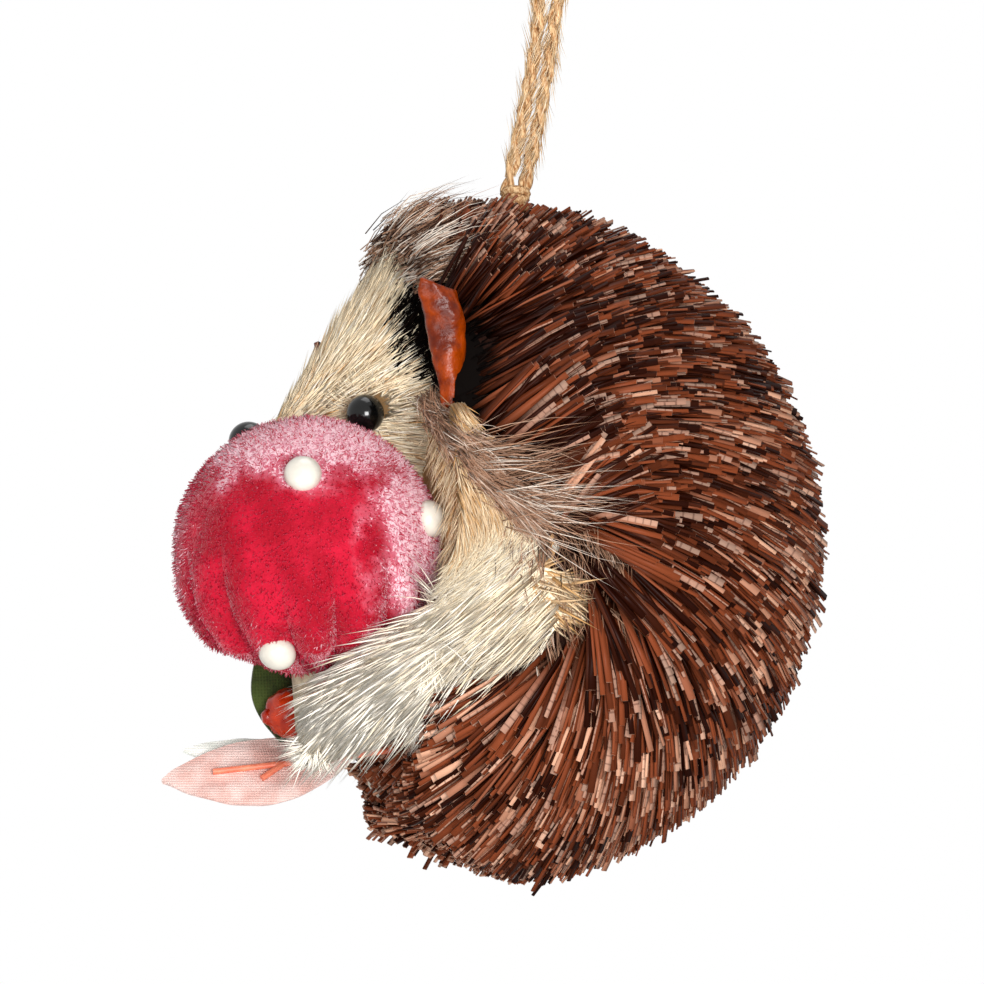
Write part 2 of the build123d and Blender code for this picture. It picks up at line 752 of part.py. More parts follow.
def leaf_blade(plane, length, width, tail):
    """A cupped, pointed leaf blade on a plane at the leaf's base, with a tail behind it for its stalk."""
    curl_plane = Plane(plane.origin - plane.z_dir * leaf_curl_radius, z_dir=plane.x_dir)
    with BuildPart() as blade:
        with BuildSketch(plane):
            with BuildLine():
                widest = length * leaf_widest_share
                upper = ThreePointArc((-tail, 0), (widest, width / 2), (length, 0))
                mirror(upper, about=Plane.XZ)
            make_face()
        extrude(amount=width / 2, both=True)
        with Locations(curl_plane):
            Cylinder(leaf_curl_radius + leaf_thickness, 4 * length, mode=Mode.INTERSECT)
            Cylinder(leaf_curl_radius, 4 * length, mode=Mode.SUBTRACT)
    return blade.part


# Pink fabric leaf with its moulded rib
pink_length = leaf_length(pink_leaf_base, pink_leaf_tip)
with BuildPart() as pink_leaf:
    add(leaf_blade(pink_plane, pink_length, pink_leaf_width, 0))
write(pink_leaf, "pink_leaf")

branch_turn = radians(rib_branch_angle)
branch_start = pink_plane.from_local_coords((pink_length * rib_branch_share, 0, rib_height))
branch_along = pink_plane.x_dir * cos(branch_turn) + pink_plane.y_dir * sin(branch_turn)
with BuildPart() as pink_leaf_rib:
    with Locations(Plane(rib_start, z_dir=pink_plane.x_dir)):
        Sphere(rib_radius)
        Cylinder(
            rib_radius,
            pink_length * rib_length_share,
            align=(Align.CENTER, Align.CENTER, Align.MIN),
        )
    with Locations(Plane(branch_start, z_dir=branch_along)):
        Cylinder(rib_radius, rib_branch_length, align=(Align.CENTER, Align.CENTER, Align.MIN))
    add_stalk(pink_stalk, rib_radius, (pink_stalk[1] - pink_stalk[0]).length)
write(pink_leaf_rib, "pink_leaf_rib")

# Pale leaf and green leaf, each moulded with its stalk
pale_plane = leaf_plane(pale_leaf_base, pale_leaf_tip, pale_leaf_angle)
with BuildPart() as pale_leaf:
    add(leaf_blade(pale_plane, leaf_length(pale_leaf_base, pale_leaf_tip), pale_leaf_width, leaf_tail))
    add_stalk(pale_stalk, stalk_radius, (pale_stalk[1] - pale_stalk[0]).length)
    with Locations(pale_stalk[1]):
        Sphere(stalk_bead_radius)
write(pale_leaf, "pale_leaf")

green_plane = leaf_plane(green_leaf_base, green_leaf_tip, green_leaf_angle)
with BuildPart() as green_leaf:
    add(leaf_blade(green_plane, leaf_length(green_leaf_base, green_leaf_tip), green_leaf_width, leaf_tail))
    add_stalk(green_stalk, stalk_radius, (green_stalk[1] - green_stalk[0]).length)
    with Locations(green_stalk[1]):
        Sphere(stalk_bead_radius)
write(green_leaf, "green_leaf")

# Berry on its wire
berry_direction = (berry_stalk[1] - berry_stalk[0]).normalized()
wire_length = (berry_stalk[1] - berry_stalk[0]).length - berry_radius + berry_stalk_entry
calyx_start = berry_stalk[1] + berry_direction * berry_radius * calyx_start_share
calyx_plane = Plane(calyx_start, z_dir=berry_direction)
with BuildPart() as berry:
    with Locations(berry_stalk[1]):
        Sphere(berry_radius)
    with Locations(calyx_plane):
        Cone(
            calyx_radius,
            calyx_tip_radius,
            calyx_length,
            align=(Align.CENTER, Align.CENTER, Align.MIN),
        )
    add_stalk(berry_stalk, stalk_radius + glue_gap, wire_length + glue_gap, mode=Mode.SUBTRACT)
write(berry, "berry")

with BuildPart() as berry_wire:
    add_stalk(berry_stalk, stalk_radius, wire_length)
write(berry_wire, "berry_wire")

# Twine: the glued root, the knot where it leaves the quills, and the hanging loop
with BuildPart() as twine_root:
    with Locations(knot_plane):
        Cylinder(root_radius, root_depth, align=(Align.CENTER, Align.CENTER, Align.MAX))
        Sphere(knot_clear_radius, mode=Mode.SUBTRACT)
write(twine_root, "twine_root")

with BuildPart() as twine_knot:
    with Locations(knot_plane):
        Sphere(knot_radius)
write(twine_knot, "twine_knot")

twine_points = [Vector(right, 0, up) for right, up in twine_route]
bend_radii = []
for before, corner, after in zip(twine_points, twine_points[1:], twine_points[2:]):
    run_in = corner - before
    run_out = after - corner
    turn = radians(run_in.get_angle(run_out))
    bend_radii.append(bend_share * min(run_in.length, run_out.length) / tan(turn / 2))
print("twine bend radii", [round(radius, 1) for radius in bend_radii])
with BuildPart() as twine_loop:
    with BuildLine() as twine_path:
        FilletPolyline(*twine_points, radius=bend_radii)
    with BuildSketch(Plane(twine_points[0], z_dir=twine_points[1] - twine_points[0])):
        Circle(twine_radius)
    twine_wire = twine_path.wire()
    sweep(path=twine_wire)
    print("twine length", twine_wire.length)
    print("twine volume", twine_loop.part.volume, "of", pi * twine_radius**2 * twine_wire.length)
    with Locations(knot_centre):
        Sphere(knot_clear_radius, mode=Mode.SUBTRACT)
write(twine_loop, "twine_loop")
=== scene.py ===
# %% [markdown]
# A hedgehog that hangs on a twine. The real ornament is a foam ball under a coat of dyed reed quills. A furred
# cone makes its face, and two furred arms hug a velvet toadstool. The CAD frame already holds every solid in its
# place, so this lesson only dresses it: each soft solid is replaced by a piece with real fibres, and each hard
# one gets a finish.

# %% The frame
from math import cos, pi, radians, sin, sqrt, tan

import bmesh
import bpy
import numpy as np
from mathutils import Matrix, Vector, noise


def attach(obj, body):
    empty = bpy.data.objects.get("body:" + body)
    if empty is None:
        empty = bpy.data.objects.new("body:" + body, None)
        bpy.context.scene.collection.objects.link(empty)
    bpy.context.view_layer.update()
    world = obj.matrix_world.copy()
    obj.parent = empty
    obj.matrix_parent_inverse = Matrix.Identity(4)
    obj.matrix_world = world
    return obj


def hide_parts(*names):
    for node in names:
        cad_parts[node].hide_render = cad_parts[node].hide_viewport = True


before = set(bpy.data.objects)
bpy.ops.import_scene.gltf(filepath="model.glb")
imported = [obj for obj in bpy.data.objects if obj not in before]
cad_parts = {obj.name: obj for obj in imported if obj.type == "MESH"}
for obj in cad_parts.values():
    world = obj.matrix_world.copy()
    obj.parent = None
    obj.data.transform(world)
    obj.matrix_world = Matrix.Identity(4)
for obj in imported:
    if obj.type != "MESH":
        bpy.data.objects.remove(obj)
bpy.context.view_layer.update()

scene = bpy.context.scene
scene.view_settings.view_transform = "Standard"
print("solids in the frame:", len(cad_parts))

# %% [markdown]
# The camera comes first, because it settles which side of the hedgehog has to carry the most detail. It stands
# a little ahead of the animal's left side, almost level, and far enough away that the ball stays round. All the
# sizes below are in millimetres, as on a maker's drawing, and are turned into metres when a mesh is made.

# %% The camera
MM = 0.001
ball = np.array([-10.3, 0.0, -97.6])
turn, lift = radians(-15), radians(0.5)
to_camera = np.array([sin(turn) * cos(lift), -cos(turn) * cos(lift), sin(lift)])
to_right = np.array([cos(turn), sin(turn), 0.0])
to_top = np.cross(to_camera, to_right)
view_width, view_distance = 142.7, 1800.0
looked_at = ball + 1.6 * to_right + 7.54 * to_top

lens = bpy.data.cameras.new("camera")
lens.sensor_width = 36
lens.lens = 36 * view_distance / view_width
camera = bpy.data.objects.new("camera", lens)
camera.location = (looked_at + view_distance * to_camera) * MM
camera.rotation_euler = Vector(to_camera).to_track_quat("Z", "Y").to_euler()
scene.collection.objects.link(camera)
scene.camera = camera
print("camera at", [round(x, 3) for x in camera.location])

# %% [markdown]
# The twine is one length of jute: it leaves the knot, goes up, turns round a hook and comes back. A NURBS spline
# holds that route. Its points are read back as a fine line, and two plies are wound round that line, because
# jute twine is two yarns twisted together. A bevelled curve makes each ply, since a curve sweeps a round
# section along any line.

# %% The twine's line
twine_route = [
    (-6.45, -46.6), (-4.25, -37.2), (-2.3, -27.1), (-1.12, -17.6), (-6.5, -8.3), (-6.5, -2.9), (-2.7, 0.9),
    (2.7, 0.9), (6.5, -2.9), (6.5, -8.3), (1.12, -17.7), (0.05, -27.3), (-1.85, -37.8), (-4.05, -47.0),
]


def unit(vectors):
    return vectors / np.maximum(np.linalg.norm(vectors, axis=-1, keepdims=True), 1e-9)


def curve_mesh(points, kind="POLY", bevel=0.0, sizes=None):
    """The mesh of a curve through points: a bare line, or a round tube if it has a bevel."""
    curve = bpy.data.curves.new("line", "CURVE")
    curve.dimensions = "3D"
    curve.bevel_depth, curve.bevel_resolution, curve.use_fill_caps = bevel, 1, True
    spline = curve.splines.new(kind)
    spline.points.add(len(points) - 1)
    for i, (point, place) in enumerate(zip(spline.points, points)):
        point.co = (*place, 1)
        point.radius = 1 if sizes is None else sizes[i]
    if kind == "NURBS":
        spline.order_u = 3
        spline.use_endpoint_u = True
        spline.resolution_u = 24
    holder = bpy.data.objects.new("line", curve)
    mesh = bpy.data.meshes.new_from_object(holder)
    bpy.data.objects.remove(holder)
    return mesh


def even_line(line, step):
    """Spaces points evenly along a line, and says which way it runs at each and how far along it is."""
    walked = np.concatenate([[0], np.cumsum(np.linalg.norm(np.diff(line, axis=0), axis=1))])
    stops = np.linspace(0, walked[-1], max(3, round(walked[-1] / step)))
    points = np.stack([np.interp(stops, walked, line[:, i]) for i in range(3)], 1)
    return points, unit(np.gradient(points, axis=0)), stops


route = curve_mesh([(x, 0, z) for x, z in twine_route], "NURBS")
twine_line, twine_ways, twine_stops = even_line(np.array([v.co for v in route.vertices]), 0.35)
print("twine length in mm:", round(twine_stops[-1], 2))

# %% The twine's plies
ply_pitch, ply_offset, ply_radius = 8.0, 0.5, 0.55
across_hook = np.array([0.0, 1.0, 0.0])
twine_sides = unit(np.cross(twine_ways, across_hook))


def round_the_twine(distance, turn):
    """Points at a distance from the twine's line, wound round it."""
    return twine_line + distance * (np.cos(turn)[:, None] * twine_sides + np.sin(turn)[:, None] * across_hook)


def piece_from(bm, name):
    """Turns a bmesh in millimetres into an object in metres."""
    bmesh.ops.scale(bm, verts=bm.verts, vec=(MM, MM, MM))
    mesh = bpy.data.meshes.new(name)
    bm.to_mesh(mesh)
    bm.free()
    piece = bpy.data.objects.new(name, mesh)
    scene.collection.objects.link(piece)
    return piece


bm = bmesh.new()
for ply in range(2):
    winding = 2 * pi * twine_stops / ply_pitch + ply * pi
    swell = 1 + 0.1 * np.sin(1.7 * twine_stops + ply)
    bm.from_mesh(curve_mesh(round_the_twine(ply_offset, winding), bevel=ply_radius, sizes=swell))
bmesh.ops.remove_doubles(bm, verts=bm.verts, dist=1e-4)
bmesh.ops.recalc_face_normals(bm, faces=bm.faces)
twine = piece_from(bm, "twine")
print("twine faces:", len(twine.data.polygons))

# %% [markdown]
# Quills, fur, velvet pile and loose jute are all one idea: a thin strand, planted thousands of times. One strand
# is made with bmesh. NumPy then bends and places the copies, because a Python loop over a million corners would
# take minutes. Each copy takes its colour from a tone card: a UV map where across means which tone and up means
# how far along the strand. The pattern then follows every strand.

# %% One strand
TONES = 64
CARD = "OFBake"


def strand(sides, cuts, tip):
    """A strand one unit long and two wide, with a place on the tone card for each corner of each face."""
    bm = bmesh.new()
    bmesh.ops.create_cone(bm, cap_ends=True, segments=sides, radius1=sqrt(2), radius2=sqrt(2) * tip, depth=1)
    bmesh.ops.rotate(bm, verts=bm.verts, matrix=Matrix.Rotation(pi / sides, 3, "Z"))
    bmesh.ops.translate(bm, verts=bm.verts, vec=(0, 0, 0.5))
    upright = [e for e in bm.edges if abs(e.verts[0].co.z - e.verts[1].co.z) > 0.5]
    bmesh.ops.subdivide_edges(bm, edges=upright, cuts=cuts)
    bmesh.ops.recalc_face_normals(bm, faces=bm.faces)
    bm.verts.index_update()
    points = np.array([v.co for v in bm.verts])
    corners, starts, cards = [], [], []
    for face in bm.faces:
        starts.append(len(corners))
        middle = face.calc_center_median()
        for v in face.verts:
            corners.append(v.index)
            if abs(face.normal.z) > 0.9:
                cards.append((0.5 + 0.2 * v.co.x, min(max(v.co.z + 0.02 * v.co.y, 0.01), 0.99)))
            else:
                cards.append((float(middle.x * v.co.y > middle.y * v.co.x), 0.03 + 0.94 * v.co.z))
    bm.free()
    return points, np.array(corners), np.array(starts), np.array(cards)


quill_strand = strand(4, 2, 0.92)
hair_strand = strand(3, 1, 0.0)
long_hair_strand = strand(3, 2, 0.0)
print("faces on a quill and a hair:", len(quill_strand[2]), len(hair_strand[2]))

# %% Planting strands
def plant(name, shape, roots, first, last, across, length, width, thick, tone):
    """Plants bent copies of a strand: each leaves its root along first and ends along last."""
    points, corners, starts, cards = shape
    count, a = len(roots), points[:, 2][None, :, None]
    reach = np.broadcast_to(length, count)[:, None, None]
    spine = roots[:, None] + reach * (a * first[:, None] + 0.5 * a * a * (last - first)[:, None])
    way = unit(first[:, None] + a * (last - first)[:, None])
    side = unit(across[:, None] - way * np.sum(across[:, None] * way, 2, keepdims=True))
    flat = np.broadcast_to(width, count)[:, None, None] / 2 * points[:, 0][None, :, None]
    deep = np.broadcast_to(thick, count)[:, None, None] / 2 * points[:, 1][None, :, None]
    places = spine + side * flat + np.cross(way, side) * deep
    mesh = bpy.data.meshes.new(name)
    mesh.vertices.add(count * len(points))
    mesh.vertices.foreach_set("co", (places * MM).astype(np.float32).ravel())
    copies = np.arange(count)[:, None]
    mesh.loops.add(count * len(corners))
    mesh.loops.foreach_set("vertex_index", (corners[None] + copies * len(points)).astype(np.int32).ravel())
    mesh.polygons.add(count * len(starts))
    mesh.polygons.foreach_set("loop_start", (starts[None] + copies * len(corners)).astype(np.int32).ravel())
    mesh.update(calc_edges=True)
    slot = np.clip(np.floor(np.broadcast_to(tone, count) * TONES), 0, TONES - 1)[:, None]
    card = np.stack([(slot + 0.15 + 0.7 * cards[:, 0]) / TONES, np.broadcast_to(cards[:, 1], slot.shape[:1] + cards[:, 1].shape)], 2)
    mesh.uv_layers.new(name=CARD).data.foreach_set("uv", card.astype(np.float32).ravel())
    piece = bpy.data.objects.new(name, mesh)
    scene.collection.objects.link(piece)
    return piece


def scatter(piece, count, rng):
    """Even random spots on a piece's faces, in millimetres, with the outward direction at each."""
    mesh = piece.data
    mesh.calc_loop_triangles()
    co = np.zeros(len(mesh.vertices) * 3, np.float32)
    mesh.vertices.foreach_get("co", co)
    corner = np.zeros(len(mesh.loop_triangles) * 3, np.int32)
    mesh.loop_triangles.foreach_get("vertices", corner)
    a, b, c = (co.reshape(-1, 3)[corner.reshape(-1, 3)[:, i]].astype(float) / MM for i in range(3))
    normal = np.cross(b - a, c - a)
    size = np.linalg.norm(normal, axis=1)
    pick = rng.choice(len(size), count, p=size / size.sum())
    s, t = np.sqrt(rng.random(count))[:, None], rng.random(count)[:, None]
    return (1 - s) * a[pick] + s * (1 - t) * b[pick] + s * t * c[pick], unit(normal[pick])


def combed(normals, flow, lean):
    """Directions that lean from the surface's normal towards the flow, by an angle in degrees."""
    level = unit(flow - normals * np.sum(flow * normals, 1, keepdims=True))
    lean = np.radians(np.broadcast_to(lean, len(normals)))[:, None]
    return unit(normals * np.cos(lean) + level * np.sin(lean))


def blur(rng, vectors, amount):
    return unit(vectors + amount * rng.normal(size=vectors.shape))


# %% [markdown]
# The quills are the hedgehog's own feature. They are flat strips of split reed, tied in tufts on tapes, combed
# so that they swirl round the ball from the ear over the back to the rump, and trimmed to one height. So the
# tufts stand on even spots of the ball, lean low like thatch, and each quill is as long as it has to be to reach
# the trimmed surface.

# %% Where the quills go
tape_surface, trimmed = 41.7, 50.3
row_count, coat_start, coat_sweep = 9, 103.0, 211.0
arm_lines = {"left": np.array([(-2.0, -38.0, -6.0), (-33.6, -24.1, -27.7)]),
             "right": np.array([(-9.0, 40.5, -6.0), (-33.0, 7.0, -6.0)])}
ear_place = np.array([-12.4, -29.4, 28.6])
cap_place = np.array([-30.2, -16.8, -0.6])
cap_radius = 18.9
reed_rng = np.random.default_rng(11)


comb_turns = [-180, -104, -80, -53, -18, 20, 71, 98, 180]
comb_angles = [70, 62, 50, 48, 45, 60, 86, 96, 96]


def quill_flow(out):
    """The way the quills are combed at each direction from the ball's centre, and its turn up from the back."""
    phi = np.degrees(np.arctan2(out[:, 2], out[:, 0]))
    clockwise = np.stack([np.sin(np.radians(phi)), np.zeros(len(phi)), -np.cos(np.radians(phi))], 1)
    pole = np.stack([np.zeros(len(phi)), np.where(out[:, 1] < 0, -1.0, 1.0), np.zeros(len(phi))], 1)
    away = -unit(pole - out * np.sum(out * pole, 1, keepdims=True))
    share = np.clip(np.abs(out[:, 1]) / 0.4, 0, 1)
    swirl = np.radians(90 + (np.interp(phi, comb_turns, comb_angles) - 90) * share * share * (3 - 2 * share))[:, None]
    return np.cos(swirl) * away + np.sin(swirl) * clockwise, phi


def to_arm(points):
    """Distance from the line of the nearer arm, less the arm's radius."""
    gaps = []
    for start, end in arm_lines.values():
        line = end - start
        share = np.clip((points - start) @ line / (line @ line), 0, 1)
        radius = np.interp(share, [0, 0.5, 1], [7.4, 8.0, 6.4])
        gaps.append(np.linalg.norm(points - start - share[:, None] * line, axis=1) - radius)
    return np.minimum(*gaps)


def strip_edge(height):
    """How far back the fur strip lies on the flank, at a height on the ball."""
    return np.interp(height, [-4, 0, 4.9, 9.3, 15.1], [-4.5, -5.5, -6.2, -9.6, -13.3])


def in_the_way(points):
    """Whether points, from the ball's centre, are in the arms, the ears or the face."""
    near = points * [1, 0, 1] - np.abs(points * [0, 1, 0])
    ear = np.linalg.norm((near - ear_place) / [4.2, 4.2, 9.8], axis=1) < 1
    face = (points[:, 0] < -12.8) & (np.hypot(points[:, 1], points[:, 2] - 20.35) < 25.5)
    chest = (points[:, 0] < -13.5) & (points[:, 2] > -30) & (np.hypot(points[:, 1], points[:, 2]) < 41)
    rump_end = (points[:, 0] < -17.5) & (points[:, 2] < 0)
    flank = (points[:, 0] < strip_edge(points[:, 2]) - 0.5) & (np.abs(points[:, 2] - 5) < 10) & (np.abs(points[:, 1]) > 25)
    return (to_arm(points) < 0.3) | ear | face | chest | rump_end | flank


tuft_count, quills_each = 2700, 11
k = np.arange(tuft_count) + 0.5
height, winding = 1 - 2 * k / tuft_count, pi * (1 + sqrt(5)) * k
tuft_out = np.stack([np.sqrt(1 - height**2) * np.cos(winding), height, np.sqrt(1 - height**2) * np.sin(winding)], 1)
tuft_out = unit(tuft_out + 0.012 * reed_rng.normal(size=tuft_out.shape))
spots = tuft_out * tape_surface
bare = (spots[:, 0] < strip_edge(spots[:, 2]) + 0.8) & (np.abs(spots[:, 2]) < 15) & (np.abs(spots[:, 1]) > 25)
tuft_out = tuft_out[(spots[:, 0] > -11.5) & ~bare]
print("tufts:", len(tuft_out))

# %% The quills
def quills_on(tufts):
    """Roots, directions, lengths and tones of all the quills of these tufts."""
    flow, _ = quill_flow(tufts)
    flow = unit(flow + 0.08 * reed_rng.normal(size=flow.shape))
    sideways = unit(np.cross(tufts, flow))
    near = tufts * [1, 0, 1] - np.abs(tufts * [0, 1, 0])
    # Quills near the ears and on the flanks beside the arms get darker tones: painted shade.
    painted_shade = np.exp(-((np.linalg.norm(near - unit(ear_place), axis=1) * tape_surface / 23) ** 2))
    painted_shade = np.maximum(painted_shade, 0.6 * np.exp(-((np.linalg.norm(near * tape_surface - [5.0, -41.0, 4.0], axis=1) / 17) ** 2)))
    tuft_tone = np.clip(0.42 - 0.36 * painted_shade + (0.24 - 0.13 * painted_shade) * reed_rng.normal(size=len(tufts)), 0, 1)
    many = np.repeat(np.arange(len(tufts)), quills_each)
    spread = reed_rng.uniform(-1.7, 1.7, len(many))[:, None]
    ahead = reed_rng.uniform(-1.6, 1.6, len(many))[:, None]
    roots = unit(tufts[many] * tape_surface + spread * sideways[many] + ahead * flow[many]) * tape_surface
    out = unit(roots)
    phi = quill_flow(out)[1]
    crown = np.clip((phi - 70) / 33, 0, 1) * (np.abs(out[:, 1]) < 0.6)
    near_rump = np.interp(phi, [-110, -95, -80], [1.0, 0.6, 0.0])
    lean = 67 - 28 * crown + 9 * near_rump + 5 * reed_rng.normal(size=len(many))
    way = blur(reed_rng, combed(out, flow[many], lean), 0.035)
    slope = np.sum(out * way, 1)
    ragged = 0.5 * reed_rng.normal(size=len(many)) - 2.2 * reed_rng.random(len(many)) ** 3
    top = trimmed + ragged
    for _ in range(2):
        length = -tape_surface * slope + np.sqrt((tape_surface * slope) ** 2 + np.maximum(top, tape_surface + 0.4) ** 2 - tape_surface**2)
        to_end = np.where((way[:, 0] < -0.05) & (roots[:, 2] < 0), (0.25 * np.maximum(roots[:, 1], 0) - 17.3 - roots[:, 0]) / np.minimum(way[:, 0], -0.05), 99)
        length = np.minimum(length, np.maximum(to_end * (1 - 0.12 * np.abs(ragged)), 2.0))
        tips = roots + way * length[:, None]
        tip_turn = np.degrees(np.arctan2(tips[:, 2], tips[:, 0]))
        side_limit = trimmed - np.interp(tip_turn, [-121, -117.6, -114, -111, -100, -94, -83, -70],
                                         [11.8, 10.0, 8.4, 7.2, 4.5, 3.2, 0.5, 0.0])
        top = np.minimum(trimmed, np.hypot(side_limit, tips[:, 1])) + ragged
    roll = reed_rng.normal(size=len(many))[:, None] * 0.35
    across = unit(np.cross(out, way) + roll * out)
    tone = np.clip(tuft_tone[many] + 0.17 * reed_rng.normal(size=len(many)), 0, 0.999)
    return roots, way, across, length, tone


roots, way, across, length, tone = quills_on(tuft_out)
blocked = np.zeros(len(roots), bool)
for share in (0.0, 0.35, 0.7, 1.0):
    blocked |= in_the_way(roots + way * (share * length)[:, None])
phi = np.degrees(np.arctan2(roots[:, 2], roots[:, 0]))
row = np.floor((coat_start - phi) / (coat_sweep / row_count)).astype(int)
flank = (np.abs(roots[:, 1]) > tape_surface * sin(radians(74))) | (row < 0) | (row >= row_count)
row = np.where(flank, np.where(roots[:, 1] < 0, row_count, row_count + 1), row)
row[blocked] = -1
bend = unit(way - 0.12 * unit(roots) + 0.05 * reed_rng.normal(size=way.shape))
width = 0.42 + 0.75 * reed_rng.random(len(roots)) ** 1.8
coat = []
for number in range(row_count + 2):
    mine = row == number
    name = f"quills_{number + 1}" if number < row_count else ("left_flank_quills", "right_flank_quills")[number - row_count]
    coat.append(plant(name, quill_strand, ball + roots[mine] - 0.6 * unit(roots[mine]), way[mine], bend[mine],
                      across[mine], length[mine] + 0.6, width[mine], 0.24, tone[mine]))
belly = np.stack([np.full(3800, -12.2), *reed_rng.uniform(-38, 38, (2, 3800))], 1)
belly = belly[(np.hypot(belly[:, 1], belly[:, 2]) < 40) & (belly[:, 2] < -24) & (to_arm(belly) > 1)]
way = blur(reed_rng, np.array([[-0.8, 0.0, -0.5]]) + 0.25 * unit(belly) * [0, 1, 1], 0.16)
coat.append(plant("belly_quills", quill_strand, ball + belly, way, unit(way + [-0.1, 0, -0.2]), reed_rng.normal(size=way.shape),
                  np.interp(belly[:, 2], [-40, -33, -26], [1.8, 4.8, 5.4]) * np.interp(belly[:, 1], [-5, 25], [1, 0.35]) * reed_rng.uniform(0.7, 1.1, len(belly)),
                  reed_rng.uniform(0.45, 1.0, len(belly)), 0.24,
                  np.clip(0.35 + 0.22 * reed_rng.normal(size=len(belly)), 0, 0.99)))
print("quills:", int((row >= 0).sum()), "left out for the arms, ears and face:", int(blocked.sum()))

# %% The cloth under the quills and the fur
def cover(name, start, sweep, steps):
    """A cloth over part of the ball, swept round its long axis and flattened by the ball's flat front."""
    bm = bmesh.new()
    arc = [bm.verts.new((0, tape_surface * sin(radians(a)), tape_surface * cos(radians(a)))) for a in np.linspace(-89, 89, 46)]
    edges = [bm.edges.new(pair) for pair in zip(arc, arc[1:])]
    bmesh.ops.rotate(bm, verts=arc, cent=(0, 0, 0), matrix=Matrix.Rotation(radians(90 - start), 3, "Y"))
    bmesh.ops.spin(bm, geom=arc + edges, cent=(0, 0, 0), axis=(0, 1, 0), angle=radians(sweep), steps=steps)
    bmesh.ops.recalc_face_normals(bm, faces=bm.faces)
    if sum(f.normal.dot(f.calc_center_median()) for f in bm.faces) < 0:
        bmesh.ops.reverse_faces(bm, faces=bm.faces)
    for v in bm.verts:
        v.co.x = max(v.co.x, -12.25)
    bmesh.ops.translate(bm, verts=bm.verts, vec=ball)
    cloth = piece_from(bm, name)
    cloth.modifiers.new("cloth", "SOLIDIFY").thickness = 1.0 * MM
    return cloth


coat_tape = cover("coat_tape", 105, 214, 54)
front_cloth = cover("front_cloth", 105, -146, 40)
print("tape box in mm:", [round(x / MM, 1) for x in coat_tape.dimensions])

# %% [markdown]
# The face is a cone in cream bristle fur, combed from the nose backwards. The skin under it is a half section
# spun round the face's axis, which is how a sewn cone is cut. Where the toadstool presses into the face, the
# skin is pushed back to the toadstool's surface, as stuffing would be.

# %% The face's skin
face_base = ball + [-11.1, 0, 20.35]
face_axis = np.array([-cos(radians(13)), 0.0, -sin(radians(13))])
face_reach, face_slope, pelt_depth = 24.2, radians(40.7), 1.7


def out_of_cap(points, clear):
    """Pushes points out of the toadstool's cap."""
    offset = points - ball - cap_place
    far = np.linalg.norm(offset, axis=-1, keepdims=True)
    return np.where(far < cap_radius + clear, ball + cap_place + offset / far * (cap_radius + clear), points)


bm = bmesh.new()
snout_radius = 1.6
snout_end = face_reach - pelt_depth / sin(face_slope) + 0.6
stations = snout_end - (snout_end + 1.0) * np.linspace(1, 0, 34) ** 1.3
cone = np.maximum((face_reach - stations) * tan(face_slope) - pelt_depth / cos(face_slope), 0)
snout = np.sqrt(np.maximum(snout_radius**2 - (stations - snout_end + snout_radius) ** 2, 0)) * (stations > snout_end - snout_radius)
radii = np.maximum(cone + 0.5 * np.sin(pi * (stations + 1) / 26), snout)
profile = [bm.verts.new((s, 0, r)) for s, r in zip(stations, radii)]
profile[-1].co.z = 0
closing = bm.verts.new((stations[0], 0, 0))
outline = [closing] + profile
edges = [bm.edges.new(pair) for pair in zip(outline, outline[1:])]
bmesh.ops.spin(bm, geom=outline + edges, cent=(0, 0, 0), axis=(1, 0, 0), angle=2 * pi, steps=72, use_merge=True)
bmesh.ops.remove_doubles(bm, verts=bm.verts, dist=1e-3)
bmesh.ops.recalc_face_normals(bm, faces=bm.faces)
face_frame = Matrix(np.stack([face_axis, [0, 1, 0], np.cross(face_axis, [0, 1, 0])], 1).tolist())
bmesh.ops.transform(bm, matrix=face_frame.to_4x4(), verts=bm.verts)
bmesh.ops.translate(bm, verts=bm.verts, vec=face_base)
for v in bm.verts:
    v.co = out_of_cap(np.array(v.co), 0.4)
bmesh.ops.recalc_face_normals(bm, faces=bm.faces)
face_skin = piece_from(bm, "face_skin")
print("face skin faces:", len(face_skin.data.polygons))

# %% The face's fur
fur_rng = np.random.default_rng(5)
eye_place = ball + [-21.0, -13.0, 19.5]
nose_place = ball + [-34.7, 0, 14.9]


def past_beads(points):
    """Whether points are clear of the eyes and the nose."""
    near = points * [1, 0, 1] - np.abs(points * [0, 1, 0])
    return (np.linalg.norm(near - eye_place, axis=1) > 2.9) & (np.linalg.norm(points - nose_place, axis=1) > 2.9)


def grow(name, roots, normals, flow, lean, length, width, tone, shape=hair_strand, droop=0.1, ruffle=0.1, rng=fur_rng):
    """Plants fur that leans along the flow, and leaves out hairs that would run into a bead or the cap."""
    first = blur(rng, combed(normals, flow, lean), ruffle)
    last = unit(first + droop * unit(flow) - 0.1 * normals + 0.08 * rng.normal(size=first.shape))
    reach = np.broadcast_to(length, len(roots))[:, None]
    fits = np.ones(len(roots), bool)
    for share in (0.0, 0.5, 1.0):
        at = roots + share * reach * first
        fits &= past_beads(at) & (np.linalg.norm(at - ball - cap_place, axis=1) > cap_radius + 0.2)
    across = unit(np.cross(normals, first)) + 0.3 * rng.normal(size=first.shape)
    return plant(name, shape, (roots - 0.2 * normals)[fits], first[fits], last[fits], across[fits], reach[fits, 0],
                 np.broadcast_to(width, len(roots))[fits], 0.4 * np.broadcast_to(width, len(roots))[fits],
                 np.broadcast_to(tone, len(roots))[fits])


def in_ear_shadow(points):
    """Whether points are in the hollow between the face and an ear, as the camera sees the left one, where the fur is
    painted black as shade.
    """
    near = (points - ball) * [1, 0, 1] - np.abs((points - ball) * [0, 1, 0])
    seen, high = near @ to_right, near[:, 2]
    return (seen > np.interp(high, [25, 27, 31, 37.5], [-7, -10.3, -12.2, -11.6])) & (high > 24.5) & (high < 37.5)


